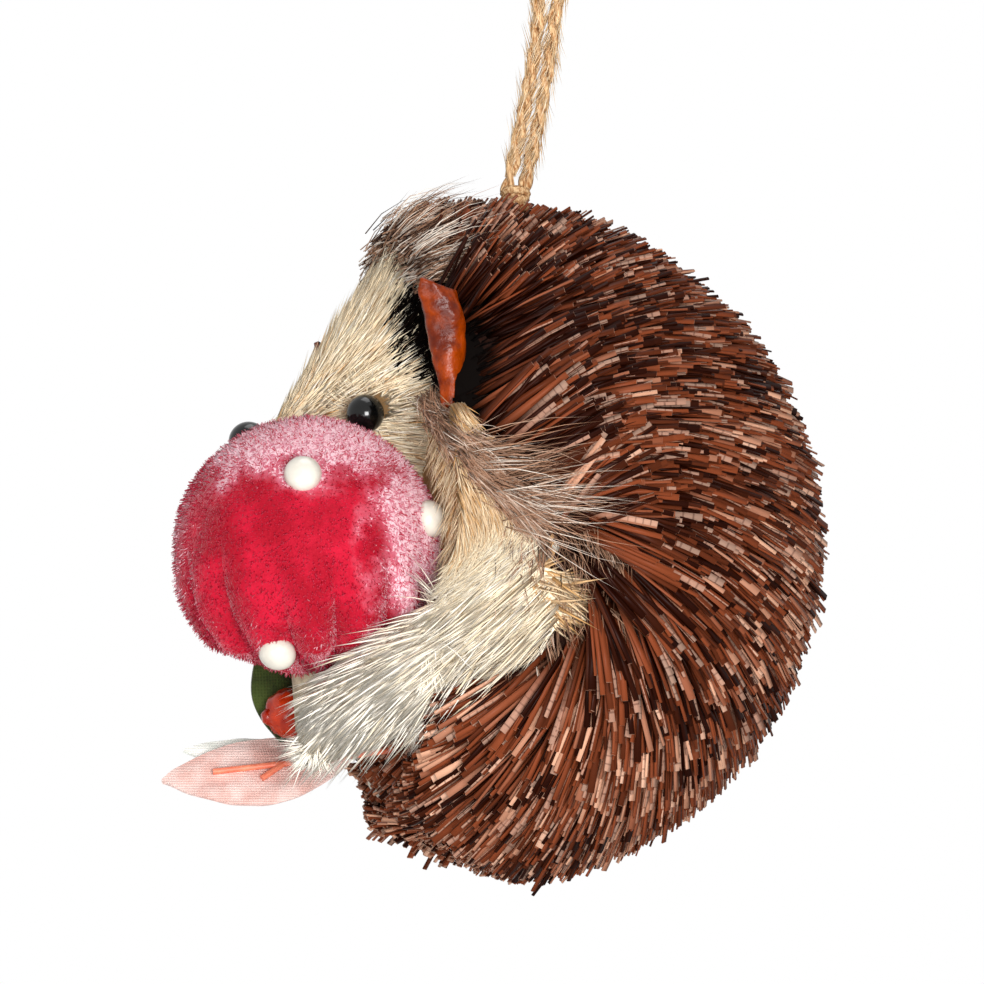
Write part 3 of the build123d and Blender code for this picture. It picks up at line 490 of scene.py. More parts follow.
spots, normals = scatter(face_skin, 19000, fur_rng)
outer = np.sum(normals * face_axis, 1) > -0.6
spots, normals = spots[outer], normals[outer]
back = np.broadcast_to(-face_axis, spots.shape)
from_tip = np.sum((nose_place - spots) * face_axis, 1) / face_reach
length = fur_rng.uniform(5.0, 8.5, len(spots)) * np.clip(0.35 + from_tip, 0.35, 1)
# Fur in that hollow is near black: a painted shadow of the ear.
dark = in_ear_shadow(spots) | in_ear_shadow(spots + 0.6 * length[:, None] * combed(normals, back, 74))
cheek = np.clip((-10 - (spots[:, 2] - ball[2]) + 26) / 14, 0, 1) * np.clip(from_tip - 0.45, 0, 0.5)
face_tone = np.clip(0.52 + 0.16 * fur_rng.normal(size=len(spots)) - 1.0 * cheek, 0, 0.99)
light = ~dark
face_fur = grow("face_fur", spots[light], normals[light], back[light], 79 + 4 * fur_rng.normal(size=light.sum()),
                length[light], 0.4, face_tone[light], ruffle=0.07)
spots_too, normals_too = scatter(face_skin, 30000, fur_rng)
near = spots_too * [1, 0, 1] - np.abs(spots_too * [0, 1, 0])
ring = (np.linalg.norm(near - eye_place, axis=1) < 5.6) & (np.linalg.norm(near - eye_place, axis=1) > 2.6)
lids, lid_normals = spots_too[ring], normals_too[ring]
lid_flow = unit(lids - np.where(lids[:, 1:2] < 0, eye_place, eye_place * [1, -1, 1])) - 0.4 * face_axis
eye_fur = grow("eye_fur", lids, lid_normals, lid_flow, 68, fur_rng.uniform(1.6, 3.2, len(lids)), 0.3,
               np.clip(0.5 + 0.15 * fur_rng.normal(size=len(lids)), 0, 0.99), ruffle=0.12)
# The front rim near the ears and the ball's top front get the same black fur, as painted shadow.
rim = np.stack([np.full(9000, -12.2), *(fur_rng.uniform(-41, 41, (2, 9000)))], 1)
rim = rim[(np.hypot(rim[:, 1], rim[:, 2]) < 39) & (np.hypot(rim[:, 1], rim[:, 2] - 20.35) > 17) & (rim[:, 2] > 23)]
over = unit(np.stack([fur_rng.uniform(-0.32, -0.1, 5000), *fur_rng.normal(size=(2, 5000))], 1)) * 41.6
over = over[(over[:, 0] > -13.4) & (over[:, 0] < -6.5) & (over[:, 2] > 14)]
rim_normals = np.concatenate([np.broadcast_to([-1.0, 0.0, 0.0], rim.shape), unit(over)])
rim_flow = np.concatenate([unit(rim * [0, 1, 1]), np.broadcast_to([1.0, 0.0, 0.1], over.shape)])
rim = np.concatenate([rim, over])
dark_spots = np.concatenate([spots[dark], ball + rim])
dark_normals = np.concatenate([normals[dark], rim_normals])
dark_flow = np.concatenate([back[dark], rim_flow])
near = (dark_spots - ball) * [1, 0, 1] - np.abs((dark_spots - ball) * [0, 1, 0])
off_ear = (np.linalg.norm((near - ear_place) / [7, 5, 10.5], axis=1) > 1) | (near[:, 0] > ear_place[0] + 2.4)
dark_spots, dark_normals, dark_flow = dark_spots[off_ear], dark_normals[off_ear], dark_flow[off_ear]
shadow_fur = grow("shadow_fur", dark_spots, dark_normals, dark_flow, 62, fur_rng.uniform(2.5, 4.0, len(dark_spots)), 0.5,
                  fur_rng.uniform(0, 0.99, len(dark_spots)))
print("face hairs:", len(face_fur.data.polygons) // len(hair_strand[2]), "in the hollows:", int(dark.sum()))

# %% [markdown]
# The arms are stuffed sleeves of the same bristle fur, longer and paler towards the paws. A sphere is drawn out
# along the arm's line into a sleeve, pressed back where it meets the ball, and planted with hair that runs from
# the shoulder to the paw.

# %% The arms
def sleeve(name, start, end):
    """A stuffed sleeve from the shoulder to the paw, kept just inside its fur."""
    axis = unit(end - start)
    across = unit(np.cross(axis, [0.0, 0.0, 1.0]))
    above = np.cross(across, axis)
    length = np.linalg.norm(end - start) - 2.0
    bm = bmesh.new()
    bmesh.ops.create_uvsphere(bm, u_segments=40, v_segments=48, radius=1)
    for v in bm.verts:
        radius = np.interp((v.co.z + 1) / 2, [0, 0.5, 1], [7.4, 8.0, 6.4]) - 1.2
        ring = np.array([v.co.x, v.co.y]) / max(1e-6, sqrt(v.co.x**2 + v.co.y**2)) * (1 - v.co.z**2) ** 0.32
        dent = 1 + 0.07 * noise.noise(Vector((v.co.x * 1.5, v.co.y * 1.5 + len(name), v.co.z * 2)))
        reach = length / 2 + v.co.z * (length / 2 + (3.0 if v.co.z < 0 else 0.0))
        away = start + axis * reach + radius * dent * (ring[0] * across + ring[1] * above)
        far = np.linalg.norm(away)
        if far < 43.0 and away[0] > -13.5:
            away *= 43.0 / far
        v.co = out_of_cap(ball + away, 0.6)
    bmesh.ops.recalc_face_normals(bm, faces=bm.faces)
    return piece_from(bm, name), axis


arms = {}
for word, (start, end) in arm_lines.items():
    pad, axis = sleeve(f"{word}_arm_pad", start, end)
    spots, normals = scatter(pad, 20800, fur_rng)
    out = spots - ball
    shown = (np.linalg.norm(out, axis=1) > 43.6) | (np.sum(out * normals, 1) > 0) | (out[:, 0] < -15)
    spots, normals = spots[shown], normals[shown]
    share = np.clip((spots - ball - start) @ axis / 36.0, -0.2, 1)
    stray = fur_rng.random(len(spots)) < 0.03
    paw = np.clip(share, 0, 1)[:, None] ** 2
    under = np.clip(-normals[:, 2:] + 0.2, 0, 1)
    splay = np.broadcast_to(axis, spots.shape) + 0.15 * paw * normals + 0.9 * paw * under * [0, 0, -1]
    end = share + 0.05 * fur_rng.normal(size=len(spots)) < -0.06
    splay[end] = unit(-0.7 * axis + np.array([0.2, 0, -0.8]) + 0.3 * fur_rng.normal(size=(end.sum(), 3)))
    tone = np.clip(np.where(end, 0.2, np.interp(share, [0, 0.3, 1], [0.62, 0.8, 0.95])) + 0.1 * fur_rng.normal(size=len(spots)), 0, 0.99)
    length = fur_rng.uniform(6.0, 9.5, len(spots)) * (1 - 0.6 * (1 - 0.8 * under[:, 0]) * paw[:, 0] ** 2.5) * np.where(end, 0.6, 1) + 2.5 * stray
    fur = grow(f"{word}_arm_fur", spots, normals, splay, np.where(stray, 62, 85 - 6 * (paw * under)[:, 0]) + 2 * fur_rng.normal(size=len(spots)),
               length, 0.5, tone, ruffle=0.05)
    arms[word] = pad, fur
print("hairs on the left arm:", len(arms["left"][1].data.polygons) // len(hair_strand[2]))

# %% [markdown]
# The ruff is a strip of long soft fur sewn round the face. Its hair is far finer than the bristles, comes in
# wisps, and streams back over the quills. It is taupe, and pale grey at the crown.

# %% The ruff
ruff_rng = np.random.default_rng(23)


def wisps(roots, first, last, reach, tone, each, spread):
    """Turns wisps into hairs that start together and drift apart."""
    many = np.repeat(np.arange(len(roots)), each)
    jitter = ruff_rng.normal(size=(3, len(many), 3))
    return (roots[many] + spread * jitter[0], unit(first[many] + 0.13 * jitter[1]), unit(last[many] + 0.2 * jitter[2]),
            reach[many] * ruff_rng.uniform(0.6, 1.1, len(many)),
            np.clip(tone[many] + 0.14 * ruff_rng.normal(size=len(many)), 0, 0.99))


ring_turn = ruff_rng.uniform(radians(48), radians(131), 150)
ring_out = np.stack([np.zeros(150), np.cos(ring_turn), np.sin(ring_turn)], 1)
ring_root = face_base + [-2.0, 0, 0] + ring_out * ruff_rng.uniform(19.5, 25.5, 150)[:, None]
ring_first = unit(0.75 * ring_out + [0.7, 0, 0] + 0.2 * ruff_rng.normal(size=ring_out.shape))
ring_last = unit(0.15 * ring_out + [1.0, 0, -0.15] + 0.2 * ruff_rng.normal(size=ring_out.shape))
hairs = [wisps(ring_root, ring_first, ring_last, ruff_rng.uniform(9, 16, 150), ruff_rng.choice([0.12, 0.42, 0.85], 150), 13, 0.8)]
strip = np.array([(-14.0, -24.5, 21.5), (-14.0, -28.3, 18.7), (-13.3, -38.0, 15.1), (-9.6, -40.9, 9.3), (-6.2, -42.3, 4.9)])
for side in (1.0, -1.0):
    line, ways, stops = even_line(strip * [1, side, 1], 0.2)
    pick = ruff_rng.integers(0, len(line), 330)
    out = unit(line[pick] * [0.4, 1, 1])
    first = combed(out, ways[pick] + [0.25, 0, 0] + 0.25 * ruff_rng.normal(size=out.shape), 58)
    last = unit(first - 0.35 * out + [0.15, 0, -0.1])
    hairs.append(wisps(ball + line[pick] + 0.9 * ruff_rng.normal(size=out.shape), first, last, ruff_rng.uniform(5, 9, 330),
                       ruff_rng.uniform(0.42, 0.66, 330), 9, 0.5))
    pick = ruff_rng.integers(int(0.6 * len(line)), len(line), 44)
    out = unit(line[pick])
    flow = np.stack([np.ones(44), np.zeros(44), ruff_rng.uniform(-0.75, 0.3, 44)], 1)
    hairs.append(wisps(ball + line[pick] + 0.9 * ruff_rng.normal(size=out.shape), combed(out, flow, 60), combed(out, flow, 97),
                       ruff_rng.uniform(12, 23, 44), ruff_rng.choice([0.25, 0.45, 0.8], 44), 8, 0.7))
fringe = unit(ruff_rng.normal(size=(60000, 3)) * [0.35, 1, 0.4]) * 42.0
fringe = fringe[(to_arm(fringe) > -2.5) & (to_arm(fringe) < 5.5) & (fringe[:, 0] > -9) & (fringe[:, 2] < 4)][:150]
out = unit(fringe)
first = combed(out, np.array([0.1, 0.0, -1.0]) + 0.35 * ruff_rng.normal(size=out.shape), 66)
hairs.append(wisps(ball + fringe, first, unit(first - 0.2 * out), ruff_rng.uniform(4, 7.5, len(out)), ruff_rng.uniform(0.15, 0.6, len(out)), 8, 0.6))
roots, first, last, reach, tone = (np.concatenate(part) for part in zip(*hairs))
clear = np.linalg.norm(roots + 4 * first - ball - cap_place, axis=1) > cap_radius + 1
ruff_hair = plant("ruff_hair", long_hair_strand, roots[clear], first[clear], last[clear], ruff_rng.normal(size=first.shape)[clear],
                  reach[clear], 0.15, 0.15, tone[clear])
print("ruff hairs:", int(clear.sum()))

# %% [markdown]
# Shorter fur fills the chest below the face and the flanks between the face, the arm and the quills. It is only
# seen in the gaps, but a gap with bare foam in it would spoil every other view.

# %% Chest and flanks
spots = np.stack([np.full(9000, -12.3), *(fur_rng.uniform(-41, 41, (2, 9000)))], 1)
inside = (np.hypot(spots[:, 1], spots[:, 2]) < 40.6) & (np.hypot(spots[:, 1], spots[:, 2] - 20.35) > 19)
spots = spots[inside]
normals = np.broadcast_to(np.array([-1.0, 0.0, 0.0]), spots.shape)
spread = unit(np.sign(spots) * [0, 0.3, 0] + [0, 0, -1.0])
clear = (to_arm(spots) > -0.5) & (spots[:, 2] > -26) & (spots[:, 2] < 19)
chest_fur = grow("chest_fur", (spots + ball)[clear], normals[clear], spread[clear], 64 + 8 * fur_rng.normal(size=clear.sum()), fur_rng.uniform(4, 7, clear.sum()),
                 0.32, np.clip(0.32 + 0.12 * fur_rng.normal(size=clear.sum()), 0, 0.99))
flank_furs = {}
for word, side in (("left", -1.0), ("right", 1.0)):
    out = unit(np.stack([fur_rng.uniform(-0.4, 0.1, 12000), np.full(12000, side), fur_rng.uniform(-0.35, 0.6, 12000)], 1))
    spots = out * 42.2
    band = (spots[:, 0] < strip_edge(spots[:, 2]) + np.where(spots[:, 2] < 6, 4.5, 1.5)) & (spots[:, 0] > -14) & (to_arm(spots) > -1)
    out, spots = out[band][:5000], spots[band][:5000]
    by_arm = np.exp(-((np.maximum(to_arm(spots), 0) / 5.5) ** 2))[:, None]
    arm_way = unit(arm_lines[word][1] - arm_lines[word][0])
    flow = np.array([0.45, 0.0, -1.0]) + by_arm * (1.6 * arm_way - [0.45, 0.0, -1.0])
    flank_furs[word] = grow(f"{word}_flank_fur", ball + spots, out, flow, 70, fur_rng.uniform(4, 7, len(out)), 0.28,
                            np.clip(0.2 + 0.45 * by_arm[:, 0] + 0.12 * fur_rng.normal(size=len(out)), 0, 0.99), ruffle=0.12)
print("chest and flank hairs:", len(chest_fur.data.polygons) // len(hair_strand[2]))

# %% [markdown]
# The toadstool's cap is crushed velvet gathered over a foam ball. A sphere is shaped as with a sculpt brush: its
# underside is drawn in to the hem, folds deepen towards the hem, and soft dents make it look stuffed.

# %% The velvet cap
stem_way = np.array([sin(radians(9.8)), sin(radians(9.4)), 0])
stem_way[2] = -sqrt(1 - stem_way @ stem_way)
cap_up = -stem_way
cap_x = unit(np.array([0.0, 1.0, 0.0]) - cap_up * cap_up[1])
cap_y = np.cross(cap_up, cap_x)
hem_radius, hem_drop, shoulder_height = 4.8, 17.0, -38.0


def cap_profile(height):
    """Distance from the axis and height of the cap's side, for a height angle in degrees."""
    if height >= shoulder_height:
        return cap_radius * cos(radians(height)), cap_radius * sin(radians(height))
    side = cap_radius * cos(radians(shoulder_height)), cap_radius * sin(radians(shoulder_height))
    share = min(1.0, (shoulder_height - height) / 36)
    tuck = max(0.0, (shoulder_height - 36 - height) / 16)
    return (side[0] + (hem_radius - side[0]) * share) * (1 - tuck), side[1] + (-hem_drop - side[1]) * share + 2.5 * tuck


def gathers(around, height):
    """How far the cloth stands out in its gathers, for a turn in radians and a height angle in degrees."""
    fold = np.clip((26 - height) / 66, 0, 1) ** 1.5
    wander = 0.5 * noise.noise(Vector((cos(around) * 1.3, sin(around) * 1.3, 0.3)))
    return fold * (abs(sin(7 * (around + 0.35 * wander))) ** 0.7 - 0.62)


bm = bmesh.new()
bmesh.ops.create_uvsphere(bm, u_segments=168, v_segments=96, radius=1)
for v in bm.verts:
    height = np.degrees(np.arcsin(np.clip(v.co.z, -1, 1)))
    around = np.arctan2(v.co.y, v.co.x)
    r, z = cap_profile(height)
    dent = noise.noise(Vector(v.co) * 2.1) * 0.45 + noise.noise(Vector(v.co) * 5.0) * 0.18
    r += (3.2 * gathers(around, height) + dent * cos(radians(height))) * min(1, r / 6)
    z += dent * sin(radians(height))
    v.co = ball + cap_place + r * (cos(around) * cap_x + sin(around) * cap_y) + z * cap_up
bmesh.ops.recalc_face_normals(bm, faces=bm.faces)
velvet_cap = piece_from(bm, "velvet_cap")
pile_rng = np.random.default_rng(3)
spots, normals = scatter(velvet_cap, 19000, pile_rng)
nap = unit(np.stack([pile_rng.normal(size=len(spots)), pile_rng.normal(size=len(spots)), np.full(len(spots), -0.8)], 1))
offset = spots - ball - cap_place
# Pile towards the cap's top and its right and left edges, and on the gathers' ridges, gets pale tones: painted sheen.
sheen_side = np.max([offset @ to_top, offset @ to_right, -offset @ to_right - 5.5], axis=0) + 1.2 * pile_rng.normal(size=len(spots))
turns = np.arctan2(offset @ cap_y, offset @ cap_x)
heights = np.degrees(np.arcsin(np.clip(offset @ cap_up / cap_radius, -1, 1)))
ridges = np.array([gathers(a, h) for a, h in zip(turns, heights)])
painted_sheen = np.maximum(np.clip((sheen_side - 9.5) / 4, 0, 1), 1.9 * np.clip(ridges, 0, 0.5))
tone = np.clip(0.24 + 0.56 * np.clip(painted_sheen, 0, 1) + (0.09 + 0.13 * painted_sheen) * pile_rng.normal(size=len(spots)), 0, 0.99)
way = combed(normals, nap, pile_rng.uniform(15, 60, len(spots)))
velvet_pile = plant("velvet_pile", strand(3, 0, 0.5), spots - 0.2 * normals, way, way, nap, pile_rng.uniform(0.5, 1.0, len(spots)), 0.15, 0.1, tone)
print("pile fibres:", len(spots))

# %% [markdown]
# The leaves are cut from stiffened cloth. A flat grid is squeezed to the leaf's outline and bent round the
# leaf's length, so the cloth keeps its flat area, and a Solidify modifier gives it the cloth's thickness.

# %% The leaves
leaf_thickness, curl_radius, leaf_tail, widest_share = 0.5, 28.0, 2.2, 0.45


def leaf(name, base, tip, width, roll, ripple):
    """A curled leaf blade from its base to its tip, both given as forward, left and up from the ball."""
    start, end = (ball + np.array([-p[0], -p[1], p[2]]) for p in (base, tip))
    along = unit(end - start)
    length = np.linalg.norm(end - start)
    left = np.array([0.0, -1.0, 0.0])
    left = unit(left - along * (left @ along))
    above = np.cross(left, along)
    above = above if above[2] > 0 else -above
    out = left * cos(radians(roll)) + above * sin(radians(roll))
    across = np.cross(out, along)
    bm = bmesh.new()
    bmesh.ops.create_grid(bm, x_segments=48, y_segments=20, size=1)
    cut_area = 0.0
    for v in bm.verts:
        x = -leaf_tail + (length + leaf_tail) * (v.co.x + 1) / 2
        share = np.clip((x + leaf_tail) / (length + leaf_tail), 0, 1)
        half = width / 2 * max(0.02, sin(pi * share ** 0.92)) ** 0.8
        y = half * v.co.y
        turn = y / curl_radius
        lift = ripple * noise.noise(Vector((x * 0.25, y * 0.4, len(name))))
        v.co = start + along * x + across * curl_radius * sin(turn) + out * (curl_radius * (cos(turn) - 1) + lift + leaf_thickness / 2)
    area = sum(f.calc_area() for f in bm.faces)
    bmesh.ops.recalc_face_normals(bm, faces=bm.faces)
    uv = bm.loops.layers.uv.new("Blade")
    blade = piece_from(bm, name)
    thick = blade.modifiers.new("cloth", "SOLIDIFY")
    thick.thickness, thick.offset = leaf_thickness * MM, 0
    return blade, length + leaf_tail, area


pink_leaf_cloth, pink_length, pink_area = leaf("pink_leaf_cloth", (23.0, 4.0, -31.4), (47.0, -2.3, -34.2), 12.0, 42.0, 0.35)
pale_leaf_blade, pale_length, pale_area = leaf("pale_leaf_blade", (25.0, -2.5, -30.6), (42.6, -7.4, -30.0), 6.0, 50.0, 0.3)
green_leaf_blade, green_length, green_area = leaf("green_leaf_blade", (29.8, -1.4, -26.4), (30.6, -3.6, -12.4), 7.6, 12.0, 0.5)


def stalk(name, root, base):
    """A moulded stalk from the chest to a leaf's base, both given as forward, left and up from the ball."""
    start, end = (ball + np.array([-p[0], -p[1], p[2]]) for p in (root, base))
    bm = bmesh.new()
    bm.from_mesh(curve_mesh([start, end], bevel=0.6))
    bmesh.ops.remove_doubles(bm, verts=bm.verts, dist=1e-4)
    bmesh.ops.create_uvsphere(bm, u_segments=16, v_segments=10, radius=0.9, matrix=Matrix.Translation(end))
    bmesh.ops.recalc_face_normals(bm, faces=bm.faces)
    return piece_from(bm, name)


pale_leaf_stalk = stalk("pale_leaf_stalk", (11.8, -2.0, -27.0), (25.0, -2.5, -30.6))
green_leaf_stalk = stalk("green_leaf_stalk", (11.8, -4.5, -23.0), (29.8, -1.4, -26.4))
print("pink leaf's cut area in square mm:", round(pink_area, 1), "of", round(12.0 * pink_length, 1))

# %% [markdown]
# The ears are offcuts of leather rolled into a scoop that opens forward. A grid is rolled round an upright line and
# crumpled with noise. Its inner faces take a second, dark finish, because no light reaches into the scoop.

# %% The ears
def ear(name, side, drop):
    """A rolled leather ear. Its line is given as right, up and towards the camera, for the left ear."""
    bm = bmesh.new()
    bmesh.ops.create_grid(bm, x_segments=30, y_segments=36, size=1)
    lines = {}
    for v in bm.verts:
        t = (v.co.y + 1) / 2
        line = (np.interp(t, [0, 0.25, 0.5, 0.75, 1], [-4.8, -4.5, -4.6, -5.2, -6.6]) * to_right + np.array([0, 0, 19.6 + 18.0 * t])
                + 31.6 * to_camera * [1, 1, 0])
        shape = max(0.03, sin(pi * (0.12 + 0.72 * t))) ** 0.5
        radius = np.interp(t, [0, 0.25, 0.5, 0.75, 1], [1.5, 2.1, 2.35, 2.75, 2.9])
        radius += 0.9 * noise.noise(Vector((v.co.x * 1.3, t * 3.2, 1))) + 0.5 * abs(noise.noise(Vector((v.co.x * 2.6, t * 7, 4))))
        turn = radians(48) + radians(124) * shape * v.co.x
        place = line + radius * (sin(turn) * to_right + cos(turn) * to_camera) - np.array([0, 0, 1.0 * t * t * sin(turn)])
        lines[v.index] = line * [1, side, 1]
        v.co = ball + place * [1, side, 1] - [0, 0, drop]
    bm.normal_update()
    if sum(v.normal.dot(v.co - Vector(ball + lines[v.index] - [0, 0, drop])) for v in bm.verts) < 0:
        bmesh.ops.reverse_faces(bm, faces=bm.faces)
    leather = piece_from(bm, name)
    thick = leather.modifiers.new("leather", "SOLIDIFY")
    thick.thickness, thick.offset, thick.material_offset = 0.8 * MM, -1, 1
    leather.data.polygons.foreach_set("use_smooth", [True] * len(leather.data.polygons))
    return leather


ears = {"left": ear("left_ear_leather", 1.0, 0.0), "right": ear("right_ear_leather", -1.0, 9.0)}
print("ear height in mm:", round(ears["left"].dimensions.z / MM, 1))

# %% [markdown]
# The dots on the cap are flat-backed pearls, and the berry is a waxed bead with a dried calyx at its end. Spheres
# make them all. One pearl sits a little nearer to the camera than its solid, so that it shows at the cap's edge.

# %% Pearls and berry
bm = bmesh.new()
for angle, height in ((73.5, 35.2), (56.0, -49.0), (-58.0, 18.0), (-80.0, -32.0), (None, None)):
    if angle is None:
        way = 0.93 * to_right + 0.24 * to_top + 0.33 * to_camera
    else:
        way = np.array([-cos(radians(angle)) * cos(radians(height)), -sin(radians(angle)) * cos(radians(height)), sin(radians(height))])
    spot = Matrix.Translation(ball + cap_place + (cap_radius + 0.3) * unit(way))
    flat = Vector(way).to_track_quat("Z", "Y").to_matrix().to_4x4() @ Matrix.Diagonal((2.7, 2.7, 2.2, 1))
    bmesh.ops.create_uvsphere(bm, u_segments=32, v_segments=20, radius=1, matrix=spot @ flat)
pearls = piece_from(bm, "pearls")
bm = bmesh.new()
berry_place, berry_way = ball + [-29.4, -3.0, -24.2], unit(np.array([-17.4, 0.0, -3.2]))
bmesh.ops.create_uvsphere(bm, u_segments=40, v_segments=24, radius=3.5, matrix=Matrix.Translation(berry_place))
for v in bm.verts:
    v.co += 0.12 * noise.noise(v.co * 0.9) * (v.co - Vector(berry_place))
calyx_turn = Vector(berry_way).to_track_quat("Z", "Y").to_matrix().to_4x4()
bmesh.ops.create_cone(bm, cap_ends=True, segments=10, radius1=1.5, radius2=0.7, depth=1.0,
                      matrix=Matrix.Translation(berry_place + 3.6 * berry_way) @ calyx_turn)
waxed_berry = piece_from(bm, "waxed_berry")
for piece in (pearls, waxed_berry):
    piece.data.polygons.foreach_set("use_smooth", [True] * len(piece.data.polygons))
print("pearls across in mm:", 5.4)

# %% [markdown]
# Loose jute fibres stand off the twine all along it, and the knot is a few wraps of the same ply. Both hide the
# smooth tubes underneath, as on the real twine.

# %% Jute fibres and the knot
jute_rng = np.random.default_rng(17)
lowest_fibre = -45.0  # clear of the quills when the ornament turns
pick = jute_rng.integers(3, len(twine_line) - 3, 1500)
spin = jute_rng.uniform(0, 2 * pi, len(pick))
radial = np.cos(spin)[:, None] * twine_sides[pick] + np.sin(spin)[:, None] * across_hook
roots = twine_line[pick] + radial * 0.72
wrap = np.cross(twine_ways[pick], radial)
first = unit(twine_ways[pick] + 0.34 * wrap + 0.16 * np.abs(jute_rng.normal(size=(len(pick), 1))) * radial
             + 0.06 * jute_rng.normal(size=wrap.shape))
last = unit(first + 0.35 * jute_rng.normal(size=first.shape) * 0.4 - 0.1 * radial)
fibre_length = jute_rng.uniform(2.0, 6.0, len(pick))
fibre_tone = np.clip(0.5 + 0.25 * jute_rng.normal(size=len(pick)), 0, 0.99)
room = (roots[:, 2] - lowest_fibre) / np.maximum(-np.minimum(first[:, 2], last[:, 2]), 0.05)
clear = (roots[:, 2] > lowest_fibre + 0.5) & (room > 1)
twine_fibres = plant("twine_fibres", hair_strand, roots[clear], first[clear], last[clear], wrap[clear],
                     np.minimum(fibre_length, room)[clear], 0.16, 0.12, fibre_tone[clear])

knot_way = np.array([cos(radians(84.2)), 0.0, sin(radians(84.2))])
knot_place = ball + 50.0 * knot_way
bm = bmesh.new()
for wrapped in range(4):
    circle = np.linspace(0, 2 * pi, 41)[:-1]
    tilt = unit(knot_way + 0.35 * np.array([sin(wrapped * 2.1), cos(wrapped * 2.1), 0.0]))
    side = unit(np.cross(tilt, [0.0, 1.0, 0.3]))
    ring = knot_place + (wrapped - 1.5) * 0.75 * knot_way + 1.65 * (np.cos(circle)[:, None] * side + np.sin(circle)[:, None] * np.cross(tilt, side))
    bm.from_mesh(curve_mesh(np.vstack([ring, ring[:2]]), bevel=0.62))
bmesh.ops.create_uvsphere(bm, u_segments=20, v_segments=12, radius=1.7, matrix=Matrix.Translation(knot_place))
bmesh.ops.remove_doubles(bm, verts=bm.verts, dist=1e-4)
bmesh.ops.recalc_face_normals(bm, faces=bm.faces)
knot_wraps = piece_from(bm, "knot_wraps")
print("jute fibres:", int(clear.sum()))

# %% [markdown]
# Every finish is built from nodes. Strands share one shader group: it takes the two numbers of the tone card and
# gives a colour that runs from a dark root over three tones to a tip. The dark root is painted shade, where the
# strands crowd and shadow each other. The group puts out a colour only, and the shader itself stays in each material.

# %% Node helpers
def add(tree, kind, inputs=None, **settings):
    """Adds a node, with its settings, and links or sets its inputs."""
    node = tree.nodes.new(kind)
    for key, value in settings.items():
        setattr(node, key, value)
    for key, value in (inputs or {}).items():
        if isinstance(value, bpy.types.NodeSocket):
            tree.links.new(value, node.inputs[key])
        else:
            node.inputs[key].default_value = value
    return node


def colour(text):
    """A colour as on screen, two hex digits each, turned into the light values that nodes use."""
    parts = [int(text[i:i + 2], 16) / 255 for i in (0, 2, 4)]
    return (*(p / 12.92 if p <= 0.04045 else ((p + 0.055) / 1.055) ** 2.4 for p in parts), 1)


def finish(name, **sockets):
    """A material with its Principled shader's plain numbers set."""
    material = bpy.data.materials.new(name)
    material.use_nodes = True
    shader = material.node_tree.nodes["Principled BSDF"]
    for key, value in sockets.items():
        shader.inputs[key.replace("_", " ")].default_value = value
    return material, material.node_tree, shader


def mixed(tree, factor, a, b, kind="MIX"):
    """A colour mix, whose factor and colours may be links or values."""
    node = add(tree, "ShaderNodeMix", data_type="RGBA", blend_type=kind)
    for index, value in ((0, factor), (6, a), (7, b)):
        if isinstance(value, bpy.types.NodeSocket):
            tree.links.new(value, node.inputs[index])
        else:
            node.inputs[index].default_value = value
    return node.outputs[2]


def mapped(tree, value, low, high, to_low=0.0, to_high=1.0, kind="SMOOTHSTEP"):
    return add(tree, "ShaderNodeMapRange", {0: value, 1: low, 2: high, 3: to_low, 4: to_high}, interpolation_type=kind).outputs[0]


def maths(tree, operation, *values):
    return add(tree, "ShaderNodeMath", dict(enumerate(values)), operation=operation).outputs[0]


# %% The strand group
strand_tree = bpy.data.node_groups.new("strand_colour", "ShaderNodeTree")
for socket, kind in (("Tone", "Float"), ("Along", "Float"), ("Deep", "Color"), ("Middle", "Color"), ("Bright", "Color"),
                     ("Tip", "Color"), ("Root Light", "Float"), ("Root End", "Float"), ("Tip Start", "Float")):
    strand_tree.interface.new_socket(socket, in_out="INPUT", socket_type=f"NodeSocket{kind}")
strand_tree.interface.new_socket("Color", in_out="OUTPUT", socket_type="NodeSocketColor")
given = strand_tree.nodes.new("NodeGroupInput").outputs
darker = mixed(strand_tree, mapped(strand_tree, given["Tone"], 0.0, 0.5), given["Deep"], given["Middle"])
lighter = mixed(strand_tree, mapped(strand_tree, given["Tone"], 0.5, 1.0), darker, given["Bright"])
# Root Light sets how dark a strand is at its root, fading up to Root End: painted shade between crowded strands.
root = mapped(strand_tree, given["Along"], 0.0, given["Root End"], given["Root Light"], 1.0)
rooted = mixed(strand_tree, 1.0, lighter, add(strand_tree, "ShaderNodeCombineColor", {0: root, 1: root, 2: root}).outputs[0], "MULTIPLY")
tipped = mixed(strand_tree, mapped(strand_tree, given["Along"], given["Tip Start"], 1.0), rooted, given["Tip"])
add(strand_tree, "NodeGroupOutput", {0: tipped})


def strand_finish(name, deep, middle, bright, tip, root_light, root_end, tip_start, **sockets):
    """A finish for planted strands, coloured by the tone card."""
    material, tree, shader = finish(name, **sockets)
    card = add(tree, "ShaderNodeSeparateXYZ", {0: add(tree, "ShaderNodeUVMap", uv_map=CARD).outputs[0]}).outputs
    group = add(tree, "ShaderNodeGroup", node_tree=strand_tree)
    tree.links.new(card[0], group.inputs["Tone"])
    tree.links.new(card[1], group.inputs["Along"])
    for key, value in (("Deep", deep), ("Middle", middle), ("Bright", bright), ("Tip", tip)):
        group.inputs[key].default_value = colour(value)
    for key, value in (("Root Light", root_light), ("Root End", root_end), ("Tip Start", tip_start)):
        group.inputs[key].default_value = value
    tree.links.new(group.outputs[0], shader.inputs["Base Color"])
    return material, tree, shader, card, group.outputs[0]
